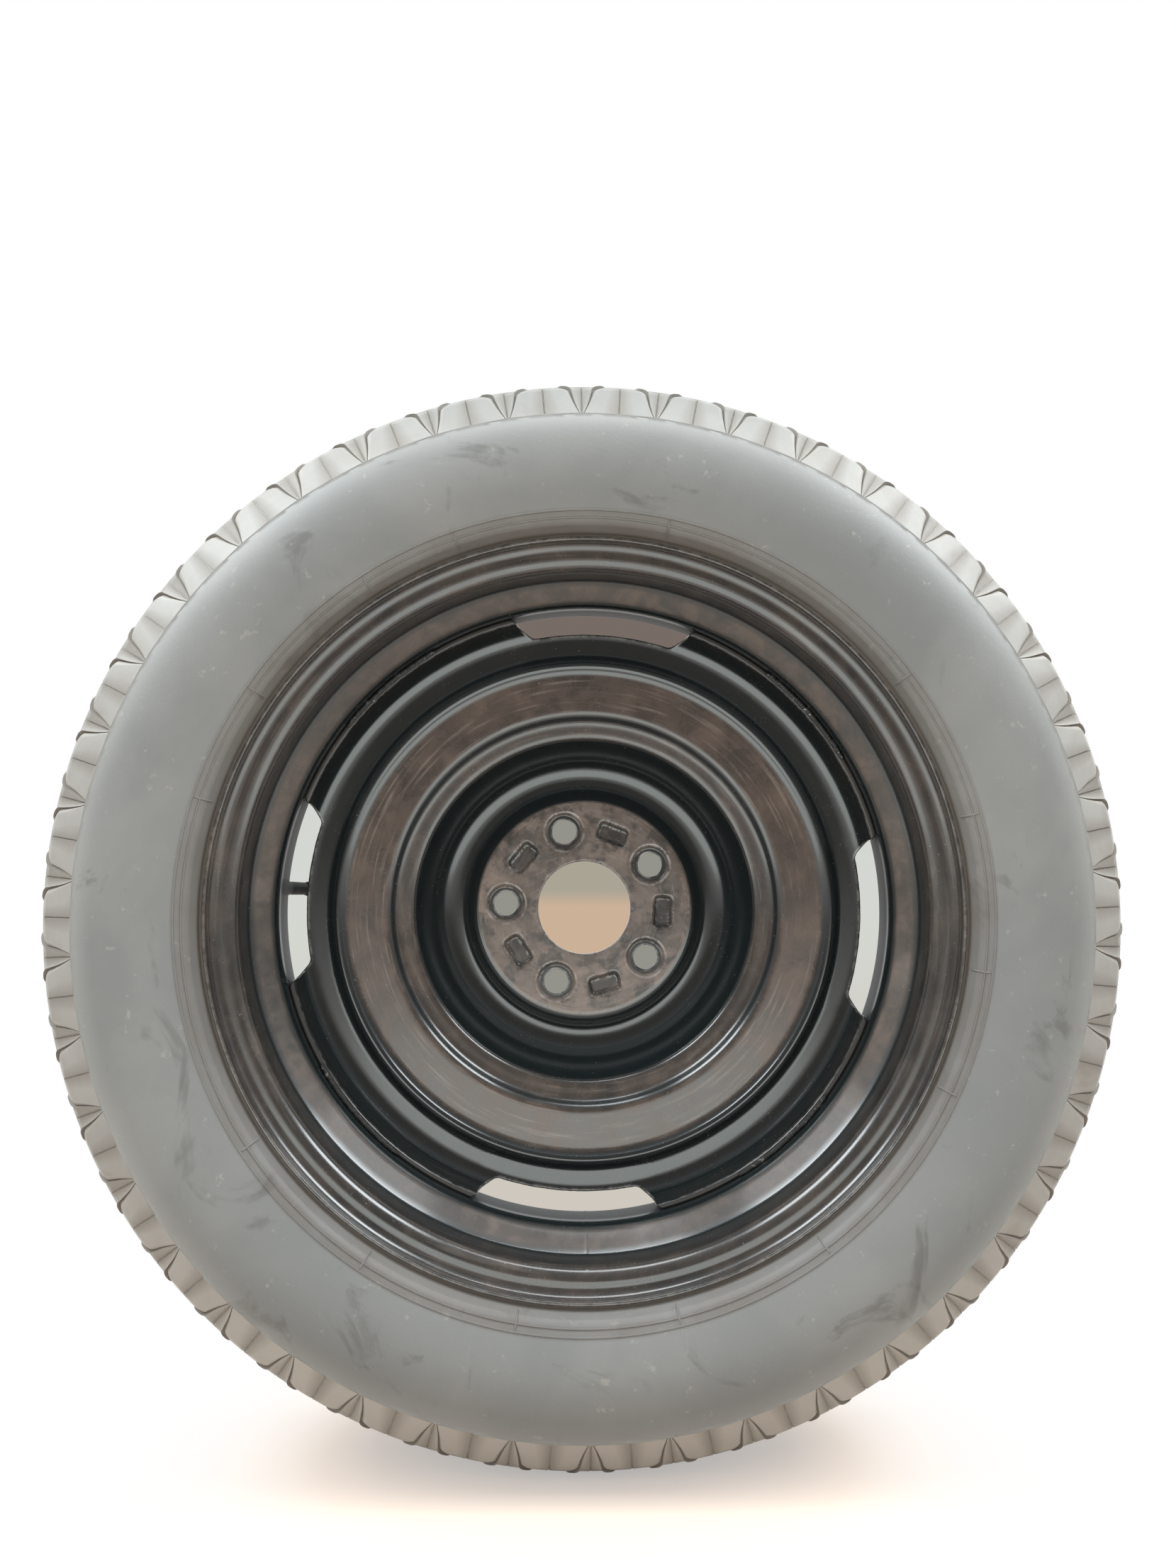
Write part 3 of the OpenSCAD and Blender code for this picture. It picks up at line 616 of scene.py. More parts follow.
@dataclass(frozen=True)
class TyreRubber:
    """Aged grey tyre rubber, softly glossy on the sidewall, dusty and pale on the tread shoulder, with
    painted light and shade.

    Attributes:
        rubber: The rubber itself.
        worn: Large paler clouds on the sidewall.
        stain: Dark smears and streaks.
        crevice: Painted shade in grooves, sipes and the crevice at the rim's lip, in a dirt-brown tone.
        dust: Pale dust in the scoops and in spots.
        block: Dusty lugs of the tread.
        fan_middle_shade: Painted shade on the recessed middle of each fan.
        block_dark: Lugs with less dust.
        soil: Brown patches on the lugs.
        low_lug_light: Painted light on the lowest lugs, which grow paler towards the bottom.
        bead_dirt: Brown dirt beside the rim.
        outer_sidewall_sheen: Painted sheen on the sidewall's outer zone near the shoulder.
    """

    rubber: Colour = (0.185, 0.194, 0.192)
    worn: Colour = (0.232, 0.238, 0.232)
    stain: Colour = (0.085, 0.080, 0.076)
    crevice: Colour = (0.140, 0.120, 0.095)
    dust: Colour = (0.46, 0.43, 0.385)
    block: Colour = (0.32, 0.315, 0.295)
    fan_middle_shade: Colour = (0.27, 0.257, 0.232)
    block_dark: Colour = (0.28, 0.27, 0.25)
    soil: Colour = (0.22, 0.19, 0.155)
    low_lug_light: Colour = (0.52, 0.49, 0.44)
    bead_dirt: Colour = (0.145, 0.125, 0.108)
    outer_sidewall_sheen: Colour = (0.43, 0.44, 0.425)

    def made(self) -> bpy.types.Material:
        """Builds the material.

        Returns:
            The material.
        """
        b = Board("Tyre rubber")
        tread, groove, scoop, inner = (b.mark(k) for k in ("tread", "groove", "scoop", "inner"))
        plain = 1 - tread
        cloud = b.noise(7.0, 4.0, 0.55, 0.4)
        patch = b.noise(22.0, 5.0, 0.6, 0.6)
        fine = b.noise(900.0, 2.0, 0.6)
        colour = b.mix(cloud.step(0.35, 0.68), self.rubber, self.worn)
        smear = b.noise(13.0, 5.0, 0.6, 1.2)
        colour = b.mix(smear.step(0.60, 0.70, (0.0, 0.55)) * plain, colour, self.stain)
        streak = b.noise(26.0, 4.0, 0.62, 0.5, b.stretched((1.0, 1.0, 0.28), (0.0, 0.35, 0.0)))
        colour = b.mix(streak.step(0.64, 0.74, (0.0, 0.6)) * plain, colour, self.stain)
        spots = b.noise(120.0, 4.0, 0.65).step(0.63, 0.72, (0.0, 0.3))
        colour = b.mix(spots * plain, colour, self.dust)
        lug = b.mix(patch.step(0.3, 0.7), self.block, self.block_dark)
        # Painted shade on the fan's recessed middle.
        lug = b.mix(inner * 0.8, lug, self.fan_middle_shade)
        lug = b.mix(scoop * 0.75, lug, self.dust)
        lug = b.mix(patch.step(0.60, 0.72, (0.0, 0.5)), lug, self.soil)
        x, _, z = b.axes()
        # Painted light: the lugs grow paler towards the bottom.
        lug = b.mix(z.step(-0.34, -0.12, (0.6, 0.0)), lug, self.low_lug_light)
        # Painted shade: the lugs at the top are darkened towards the rubber's tone.
        lug = b.mix(z.step(0.30, 0.355, (0.0, 0.5)), lug, self.rubber)
        colour = b.mix(tread, colour, lug)
        # Painted shade: the groove mark darkens groove walls, sipes, deeper crown grooves and the crevice at
        # the rim's lip.
        colour = b.mix(groove * 0.75, colour, self.crevice)
        reach = (x * x + z * z) ** 0.5
        near_bead = reach.step(0.2615, 0.2655, (0.55, 0.0)) * plain
        colour = b.mix(near_bead * patch.step(0.3, 0.6, (0.5, 1.0)), colour, self.bead_dirt)
        # Painted sheen: the sidewall's outer zone is lightened.
        colour = b.mix(reach.step(0.312, 0.345, (0.0, 0.6)) * plain, colour, self.outer_sidewall_sheen)
        rough = 0.44 + 0.12 * cloud + 0.04 * tread + 0.1 * groove
        height = fine * 0.5 + patch * 0.35 + b.noise(320.0, 3.0, 0.6) * 0.6
        return b.finish(Base_Color=colour, Roughness=rough, Normal=b.bump(height, 0.0003, 0.5),
                        Specular_IOR_Level=0.55, Sheen_Weight=0.22, Sheen_Roughness=0.35,
                        Sheen_Tint=(0.95, 0.98, 0.96))


@dataclass(frozen=True)
class WheelPaint:
    """Glossy black paint on pressed steel, with brown dust film, specks, rubbed rings and edges, and painted
    light and shade.

    Attributes:
        paint: The paint itself.
        film: Brown dust film on the level parts.
        hub_film_and_light: Paler dust film on the hub pad and the rim's slope, made paler still as painted
            light.
        scuff: Specks, crumbs and fine rings.
        cut: Dark rusty tone of cut edges, also used as painted shade in the pad's recesses.
        bare_and_highlight: Metal where edges are rubbed through, and painted highlights on the pad's edge and
            lips.
        gloss: Roughness of the clean paint.
    """

    paint: Colour = (0.007, 0.013, 0.0145)
    film: Colour = (0.168, 0.120, 0.094)
    hub_film_and_light: Colour = (0.35, 0.275, 0.23)
    scuff: Colour = (0.36, 0.31, 0.27)
    cut: Colour = (0.03, 0.022, 0.018)
    bare_and_highlight: Colour = (0.55, 0.52, 0.49)
    gloss: float = 0.17

    def made(self) -> bpy.types.Material:
        """Builds the material.

        Returns:
            The material.
        """
        b = Board("Wheel paint")
        edge, flat, cut, dull, hub = (b.mark(k) for k in ("edge", "flat", "cut", "dull", "hub"))
        cloud = b.noise(9.0, 5.0, 0.58, 0.7)
        grime = b.noise(46.0, 6.0, 0.62, 0.5)
        fine = b.noise(520.0, 3.0, 0.6)
        film = (cloud.step(0.28, 0.7, (0.45, 1.0)) * 0.6 + grime.step(0.38, 0.72) * 0.4) * flat
        blots = b.noise(62.0, 3.0, 0.6, 0.25)
        film = film * (1 - hub * blots.step(0.47, 0.62, (0.0, 0.6)))
        # The hub mark mixes in the paler film: dust, lightened as painted light on the pad and the rim's
        # slope.
        colour = b.mix(film * 0.8, self.paint, b.mix(hub, self.film, self.hub_film_and_light))
        specks = (1 - b.cells(210.0).step(0.05, 0.11)) * b.noise(60.0).step(0.5, 0.68)
        crumbs = (1 - b.cells(420.0).step(0.08, 0.16)) * b.noise(35.0, 3.0).step(0.48, 0.62)
        colour = b.mix((specks * 0.5).most(crumbs * 0.35), colour, self.scuff)
        rings = b.noise(1.0, 4.0, 0.62, 0.0, b.ringwise(3.0, 420.0))
        colour = b.mix(rings.step(0.52, 0.72, (0.0, 0.35)) * flat, colour, self.scuff)
        # The cut mark: dark tone of cut edges, and painted shade in the pad's recesses.
        colour = b.mix(cut * 0.5, colour, self.cut)
        # The edge mark: rubbed wear on the rim's lip and cut edges, and painted highlights on the pad's edge
        # and lips.
        worn = edge * b.noise(150.0, 5.0, 0.65).step(0.40, 0.60)
        colour = b.mix(worn * 0.75, colour, self.bare_and_highlight)
        rough = self.gloss + 0.14 * film + 0.08 * grime + 0.25 * specks
        rough = rough + 0.12 * worn + 0.3 * cut + 0.42 * dull
        height = fine * 0.12 + grime * 0.35 + specks * 0.7 + rings * 0.12 * flat
        coat = (1 - 0.8 * cut) * (1 - 0.9 * dull) * (1 - 0.75 * film)
        return b.finish(Base_Color=colour, Roughness=rough, Metallic=worn * 0.4,
                        Normal=b.bump(height, 0.00018, 0.45), Specular_IOR_Level=0.6,
                        Coat_Weight=coat, Coat_Roughness=0.15, Coat_IOR=1.55)


@dataclass(frozen=True)
class WeldPaint:
    """A rough weld bead under thin black paint, rubbed light on its ridges."""

    paint: Colour = (0.020, 0.020, 0.019)
    rub: Colour = (0.48, 0.46, 0.43)

    def made(self) -> bpy.types.Material:
        """Builds the material.

        Returns:
            The material.
        """
        b = Board("Painted weld")
        lumps = b.noise(260.0, 5.0, 0.65, 0.4)
        flecks = lumps.step(0.57, 0.68) * b.noise(55.0, 3.0).step(0.5, 0.62)
        colour = b.mix(flecks, self.paint, self.rub)
        return b.finish(Base_Color=colour, Roughness=0.36 + 0.25 * lumps, Metallic=flecks * 0.35,
                        Normal=b.bump(lumps + b.noise(900.0, 2.0) * 0.4, 0.0008, 0.8))


@dataclass(frozen=True)
class Moulded:
    """A small moulded piece of rubber or plastic, with fine grain and dust in its colour."""

    name: str
    colour: Colour
    dust: Colour = (0.20, 0.18, 0.16)
    rough: float = 0.55

    def made(self) -> bpy.types.Material:
        """Builds the material.

        Returns:
            The material.
        """
        b = Board(self.name)
        patch = b.noise(180.0, 4.0, 0.6)
        grain = b.noise(2200.0, 3.0, 0.6)
        colour = b.mix(patch.step(0.5, 0.78, (0.0, 0.35)), self.colour, self.dust)
        return b.finish(Base_Color=colour, Roughness=self.rough + 0.12 * patch,
                        Normal=b.bump(grain, 0.0001, 0.5))


@dataclass(frozen=True)
class TurnedMetal:
    """Bare turned or drawn metal with fine tool marks and a dull film."""

    name: str
    colour: Colour
    dull: Colour
    rough: float = 0.28

    def made(self) -> bpy.types.Material:
        """Builds the material.

        Returns:
            The material.
        """
        b = Board(self.name)
        film = b.noise(420.0, 4.0, 0.6)
        marks = b.noise(3000.0, 2.0, 0.5)
        colour = b.mix(film.step(0.4, 0.75), self.colour, self.dull)
        return b.finish(Base_Color=colour, Metallic=1.0, Roughness=self.rough + 0.2 * film,
                        Normal=b.bump(marks, 0.00004, 0.5))


# Tyre


@dataclass
class Tyre:
    """The tyre: two closed shells whose columns follow the fans of grooves on both shoulders.

    Attributes:
        crown_r: Outer radius.
        widest: Radius and half width of the sidewall's widest line.
        rise: Radial reach of the sidewall's ellipse above and below the widest line.
        line: Radius at which the tread rubber ends.
        shoulder: Radius and height of the shoulder's edge.
        crown_arc: Radius of the crown's arc.
        pitches: Number of fans round the tyre.
        first_fan: Angle of the first fan, in degrees.
        sipe_d: Depth of the thin straight sipes.
        groove_d: Depth of a fan's curved grooves.
        crown_d: Depth of the grooves that run round the crown.
        liner_foot: Radius and height at which the casing's inside starts.
        casing_t: Thickness of the sidewall, which doubles towards the crown.
        rib_radii: Radii of the fine ribs beside the rim.
        rib_size: Half a rib's width at its foot and at its top, and its height.
        crevice_r: Radius up to which painted shade fills the crevice at the rim's lip.
        tick_reach: Radii from and to which the short bars beside the rim run.
        tick_half: Half a bar's width and height.
        tick_lift: How far a bar's middle line lies above the sidewall.
        tick_angles: Angles of the bars, in degrees.
    """

    crown_r: float = 368.1
    widest: tuple[float, float] = (290.5, 77.5)
    rise: tuple[float, float] = (77.6, 77.45)
    line: float = 329.494
    shoulder: tuple[float, float] = (353.589, 49.0)
    crown_arc: float = 89.99
    pitches: int = 42
    first_fan: float = 4.8
    sipe_d: float = 1.3
    groove_d: float = 2.2
    crown_d: float = 5.0
    liner_foot: tuple[float, float] = (244.0, 37.3)
    casing_t: float = 6.5
    rib_radii: tuple[float, float] = (258.3, 262.8)
    rib_size: Vertex = (0.75, 0.35, 0.75)
    crevice_r: float = 251.5
    tick_reach: tuple[float, float] = (252.0, 262.6)
    tick_half: float = 0.75
    tick_lift: float = 0.1
    tick_angles: tuple[float, ...] = (
        14.2, 36.3, 77.9, 109.4, 123.8, 146.3, 163.5, 214.4, 237.3, 260.2, 283.0, 305.8, 333.8, 351.6)

    def wall(self, a: Array, inset: Union[float, Array] = 0.0) -> Array:
        """Points of the sidewall's ellipse.

        Args:
            a: Angles in degrees from its widest line, positive towards the tread.
            inset: How far inside the surface the points lie.

        Returns:
            Rows of radius and height.
        """
        t = np.radians(np.atleast_1d(a))
        reach = np.where(t > 0, self.rise[0], self.rise[1]) - inset
        return np.stack([self.widest[0] + reach * np.sin(t), (self.widest[1] - inset) * np.cos(t)], 1)

    def wall_angle(self, r: float) -> float:
        """The ellipse's angle at a radius."""
        reach = self.rise[0] if r > self.widest[0] else self.rise[1]
        return math.degrees(math.asin((r - self.widest[0]) / reach))

    def foot(self) -> Array:
        """The bead: along its seat, round the heel, up the flange and out of the crevice at its lip.

        Returns:
            Rows of radius and height.
        """
        path = [(229.8, 35.8, 0.0), (231.1, 50.7, 6.5), (248.4, 50.7, 9.5), (248.42, 57.6, 0.6),
                (250.3, 58.4, 1.2), (254.2, 66.8, 3.0), (*self.wall(-26)[0], 0.0)]
        return densified(rounded(path, 9.0), 5.0)

    def rib(self, r: float) -> Array:
        """A fine rib on the sidewall: a low trapezium on the ellipse's tangent.

        Args:
            r: The rib's radius.

        Returns:
            Four rows of radius and height.
        """
        a = self.wall_angle(r)
        c = self.wall(a)[0]
        along = unit(self.wall(a + 1)[0] - self.wall(a - 1)[0])
        foot, top, high = self.rib_size
        out = high * np.array([-along[1], along[0]])
        return np.stack([c - foot * along, c - top * along + out, c + top * along + out, c + foot * along])

    def side_rows(self) -> Array:
        """The sidewall's rows from the bead to just below the tread's edge.

        Returns:
            Rows of radius and height.
        """
        low, high = self.wall_angle(265.0) + 1.2, self.wall_angle(self.line) - 0.5
        ribs = [self.rib(r) for r in self.rib_radii]
        return np.vstack([self.foot(), *ribs, self.wall(np.linspace(low, high, 24))])

    def tread_track(self) -> Track:
        """The profile of the shoulder and of half the crown.

        Returns:
            The path from the tread's edge to the middle plane.
        """
        foot = self.wall(self.wall_angle(self.line))[0]
        top = foot + 0.5 * unit(np.array([0.42, 0.9]))
        half = math.asin(self.shoulder[1] / self.crown_arc)
        a = np.linspace(half - math.radians(3), 0.0, 30)
        crown = np.stack([self.crown_r - self.crown_arc * (1 - np.cos(a)), self.crown_arc * np.sin(a)], 1)
        bend = rounded([(*top, 0.0), (*self.shoulder, 3.0), (*crown[0], 0.0)], 4.0)
        return Track(np.vstack([bend[:-1], crown]))

    def fan(self, s: Array, radius: Array) -> Marks:
        """The columns of half a fan, from its middle to the sipe between two fans.

        A thin lip runs from the root out to the crown and bends away from the fan's middle. On its
        outer side the surface drops to the groove's floor and rises in a scoop that widens upwards.

        Args:
            s: Distance from the tread's edge in shares of the shoulder's width, one for each row.
            radius: The rows' radii.

        Returns:
            Rows x 13 arrays: "x" away from the fan's middle, "z" the height, and the marks "groove" (painted
                shade on the walls), "scoop" (dusty floors) and "inner" (painted shade on the fan's recessed
                middle).
        """
        lip = np.interp(s, [0, 0.25, 0.5, 0.75, 1.0, 1.15, 1.3, 1.45, 1.7],
                        [1.3, 3.2, 4.8, 6.0, 7.2, 8.6, 10.6, 13.2, 18.0])
        wide = np.interp(s, [0, 0.5, 1.0, 1.4, 1.7], [0.5, 1.1, 2.7, 3.0, 2.4])
        outer = lip + wide
        level = outer + 1.1 * wide + 0.4
        edge = radius * math.pi / self.pitches
        x = np.stack([
            np.full_like(s, 0.25), np.full_like(s, 0.55), np.maximum(lip - 1.0, 0.7), lip - 0.35, lip,
            lip + 0.25 + 0.1 * smooth(s, 0, 0.5), lip + 0.5 * wide, outer, outer + 0.5 * wide,
            level, (level + edge) / 2, edge - 0.55, edge - 0.25], 1)
        fade = 1 - smooth(s, 1.5, 1.66)
        deep = self.groove_d * (0.3 + 0.7 * smooth(s, 0.0, 0.7)) * fade
        inner = 0.6 * smooth(s, 0.02, 0.12) * (1 - smooth(s, 1.0, 1.2))
        sipe = self.sipe_d * smooth(s, 0.0, 0.06) * (1 - smooth(s, 1.4, 1.6))
        lift = (0.1 + 0.9 * smooth(s, 0.7, 1.3)) * fade
        zero = np.zeros_like(s)
        z = np.stack([-inner - sipe, -inner, -inner, -0.4 * inner + 0.6 * lift, lift, -deep, -0.6 * deep,
                      -0.27 * deep, -0.09 * deep, zero, zero, zero, -sipe], 1)
        dull, recess = fade[:, None], (1 - smooth(s, 1.0, 1.1))[:, None]
        # Painted shade on the groove walls and sipes.
        groove = dull * [0.0, 0.75, 0.0, 0.15, 0.9, 1.0, 0.3, 0.0, 0.0, 0.0, 0.0, 0.75, 0.0]
        scoop = dull * [0.8, 0.0, 0.0, 0.0, 0.0, 0.2, 1.0, 0.75, 0.3, 0.0, 0.0, 0.0, 0.8]
        # Painted shade on the fan's recessed middle.
        fan_middle_shade = recess * [1.0, 1.0, 1.0, 0.6, *[0.0] * 9]
        return {"x": x, "z": z, "groove": groove, "scoop": scoop, "inner": fan_middle_shade}

    def shoulder_grid(self) -> Marks:
        """The fine band that carries the fans.

        Returns:
            "a" angles, "r" radii, "h" heights and the fan's marks, each rows x columns, from the
            tread's edge on.
        """
        track = self.tread_track()
        run = float(np.linalg.norm(np.array(self.shoulder) - track.points[0]))
        v = np.concatenate([[0, 0.5, 1.2, 2.5, 4.5, 7], np.arange(10, 26, 3),
                            [27.5, run - 0.7, run, run + 0.8], run + np.arange(2.5, 21, 2)])
        r, h = track.point(v)
        nr, nh = track.right(v)
        fan = self.fan(v / run, r)
        both = {k: np.hstack([(-1 if k == "x" else 1) * f[:, ::-1], f]) for k, f in fan.items()}
        fans = np.radians(self.first_fan + np.arange(self.pitches) * 360 / self.pitches)
        a = (fans[None, :, None] + (both["x"] / r[:, None])[:, None, :]).reshape(len(v), -1)
        z = np.tile(both["z"], (1, self.pitches))
        marks = {k: np.tile(both[k], (1, self.pitches)) for k in ("groove", "scoop", "inner")}
        on_tread = (np.arange(len(v)) > 0)[:, None] * np.ones_like(a)
        return {"a": a, "r": r[:, None] - nr[:, None] * z, "h": h[:, None] - nh[:, None] * z, **marks,
                "tread": on_tread}

    def crown_rows(self) -> Array:
        """The rest of the crown, with a groove at 21 mm and half of one at the middle plane.

        Returns:
            Rows of radius, height and depth below the crown's arc.
        """
        lip, wall, deep = 0.3, self.crown_d - 0.4, self.crown_d
        profile = np.array([
            (26.0, 0.0), (24.0, 0.0), (23.5, lip), (23.2, wall), (22.6, deep), (19.4, deep), (18.8, wall),
            (18.5, lip), (18.0, 0.0), (14.0, 0.0), (10.0, 0.0), (6.0, 0.0), (3.2, 0.0), (2.7, lip),
            (2.3, wall), (1.8, deep), (0.0, deep)])
        h, drop = profile.T
        r = self.crown_r - self.crown_arc + np.sqrt(self.crown_arc**2 - h * h) - drop
        return np.stack([r, h, drop], 1)

    def liner_rows(self) -> Array:
        """The inside of the casing: the ellipse set in by a wall that thickens towards the crown.

        Returns:
            Rows of radius and height, from the bead to the middle plane.
        """
        s = np.linspace(0, 1, 10)
        inset = self.casing_t + self.casing_t * np.clip(s * 1.6 - 0.6, 0, None) ** 1.5
        return np.vstack([[self.liner_foot], self.wall(-24 + 114 * s, inset)])

    @staticmethod
    def ring(a: Array, r: float, h: float, groove: float = 0.0, tread: float = 0.0) -> Marks:
        """A ring of one radius and height at angles a, with its marks."""
        values = {"r": r, "h": h, "groove": groove, "scoop": 0.0, "inner": 0.0, "tread": tread}
        return {"a": a, **{k: np.full_like(a, v) for k, v in values.items()}}

    def half(self, sign: int) -> Shell:
        """Joins the rings from the bead to the middle plane and back along the inside.

        The two halves meet in the groove at the middle plane, each closed there by a flat ring. The
        angles of the sidewall's rings relax from the fans' columns to even ones at the bead.

        Args:
            sign: 1 for the inboard half, -1 for the outboard half.

        Returns:
            One closed shell.
        """
        fine = self.shoulder_grid()
        columns = fine["a"].shape[1]
        coarse = fine["a"][:, ::2]
        half_fan = columns / self.pitches / 4
        even = np.radians(self.first_fan) + (np.arange(columns // 2) + 0.5 - half_fan) * 4 * math.pi / columns
        side = self.side_rows()
        relax = np.linspace(1, 0, len(side))[:, None] ** 6
        side_a = even + (coarse[0] - even) * relax
        # Rows inside the crevice get the groove mark, which paints shade there.
        rings = [self.ring(a, r, h, float(r < self.crevice_r)) for (r, h), a in zip(side, side_a)]
        rings += [{k: f[i] for k, f in fine.items()} for i in range(len(fine["a"]))]
        # Crown grooves get painted shade in proportion to their depth.
        rings += [self.ring(coarse[-1], r, h, drop / self.crown_d, 0.45) for r, h, drop in self.crown_rows()]
        rings += [self.ring(even, r, h) for r, h in self.liner_rows()[::-1]]
        points = np.vstack([placed(ring["r"], ring["a"], sign * ring["h"]) for ring in rings])
        counts = np.array([len(ring["a"]) for ring in rings])
        starts = np.cumsum(counts) - counts
        following = [*range(1, len(rings)), 0]
        faces = [self.bridge(starts[i], counts[i], starts[j], counts[j]) for i, j in enumerate(following)]
        names = ("groove", "scoop", "inner", "tread")
        marks = {k: np.concatenate([ring[k] for ring in rings]) for k in names}
        sizes = sorted({f.shape[1] for f in faces})
        by_size = [np.vstack([f for f in faces if f.shape[1] == n]) for n in sizes]
        return Shell(points, by_size, marks).outward()

    @staticmethod
    def bridge(first: int, n: int, second: int, m: int) -> Array:
        """The faces between two rings, where one may have twice as many points as the other.

        Rings with the same number of points are joined by quads. Where the number halves, each face
        takes two steps of the finer ring.

        Args:
            first: Number of the first ring's first point.
            n: How many points it has.
            second: Number of the second ring's first point.
            m: How many points that one has.

        Returns:
            The faces, one to a row.
        """
        i = np.arange(min(n, m))
        j = (i + 1) % len(i)
        if n == m:
            return np.stack([first + i, second + i, second + j, first + j], 1)
        if n > m:
            return np.stack([first + 2 * i, second + i, second + j, first + 2 * j, first + 2 * i + 1], 1)
        return np.stack([first + i, second + 2 * i, second + 2 * i + 1, second + 2 * j, first + j], 1)

    def ticks(self, sign: int) -> Shell:
        """Short moulded bars that cross from the rim's edge to the fine ribs.

        Each bar is a tube along the sidewall that narrows at its capped ends like sqrt(1 - t^8).

        Args:
            sign: 1 for the inboard side, -1 for the outboard side.

        Returns:
            All bars of that side as one shell.
        """
        low_wall = self.wall(np.linspace(-25.5, -19, 8))
        track = Track(densified(np.vstack([self.foot()[-8:], low_wall]), 0.6))
        low, high = self.tick_reach
        v = np.linspace(track.where_x(low), track.where_x(high), 14)
        r, h = track.point(v)
        nr, nh = track.right(v)
        turn = np.linspace(0, 2 * math.pi, 9)[:-1]
        fat = np.sqrt(np.clip(1 - np.linspace(-1, 1, len(v)) ** 8, 0.0004, 1))
        across = self.tick_half * fat[:, None] * np.cos(turn)
        up = self.tick_lift + self.tick_half * fat[:, None] * np.sin(turn)
        bars = []
        for centre in np.radians(self.tick_angles):
            a = centre * sign + across / r[:, None]
            grid = placed(r[:, None] - nr[:, None] * up, a, sign * (h[:, None] - nh[:, None] * up))
            bars.append(Shell.of_grid(grid, (False, True)).capped(len(v), len(turn)))
        return bars[0].joined(*bars[1:])


# Steel wheel


@dataclass
class Rim:
    """The rolled rim, one sheet from lip to lip, with the trace of its butt weld.

    Attributes:
        sheet_t: Thickness of the sheet.
        seam_at: Angle of the weld, in degrees.
        seam_size: Height of the weld, and the angle from its middle at which 1/e of it is left.
        path: The face on the tyre's side, from the inboard lip to the outboard lip.
    """

    sheet_t: float = 2.6
    seam_at: float = 270.2
    seam_size: tuple[float, float] = (0.22, 0.2)
    path: tuple[Vertex, ...] = (
        (248.3, 61.8, 0.0), (248.3, 50.8, 9.5), (231.0, 50.8, 6.5), (229.005, 28.0, 6.0),
        (213.8, 12.5, 15.0), (213.8, -18.6, 8.6), (229.355, -32.0, 6.0), (231.0, -50.8, 6.5),
        (248.3, -50.8, 9.5), (248.3, -61.8, 0.0))

    def shell(self) -> Shell:
        """Carries the sheet's outline round the axis and raises the seam on its visible face.

        The seam's height falls off with its angle like a bell curve. Dust, painted light and dullness go by
        the height h: a film on the slope and the lip, painted light as a paler film on the slope, a dull
        well.

        Returns:
            One closed shell.
        """
        loop, turn = sheet_loop(self.path, -self.sheet_t, 1.1, 4.5)
        h = loop[:, 1]
        seam = math.radians(self.seam_at)
        near = np.radians([-0.42, -0.27, -0.14, 0.0, 0.14, 0.27, 0.42])
        even = np.linspace(0, 2 * math.pi, 401)[:-1]
        angles = np.sort(np.concatenate([even[np.abs(even - seam) > math.radians(0.6)], seam + near]))
        visible = (np.arange(len(loop)) >= turn) & (np.abs(h) < 49)
        rise, width = self.seam_size
        lift = rise * np.exp(-(((angles - seam) / math.radians(width)) ** 2))
        from_lip = np.abs(np.abs(h) - self.path[0][1])
        slope = smooth(h, 14.3, 17.5) * (1 - smooth(h, 25, 29))
        marks = {"edge": 0.15 * (1 - smooth(from_lip, 0.1, 0.9)),
                 "flat": 0.06 + 0.75 * slope + 0.40 * smooth(h, 38, 46),
                 "dull": (1 - smooth(h, 3, 8)).clip(0, 0.9) + 0.75 * slope,
                 # Painted light: a paler film on the slope.
                 "hub": 0.45 * slope}
        grid = placed(loop[None, :, 0] - lift[:, None] * visible, angles[:, None], h[None])
        return Shell.of_grid(grid, (True, True), marks).outward()


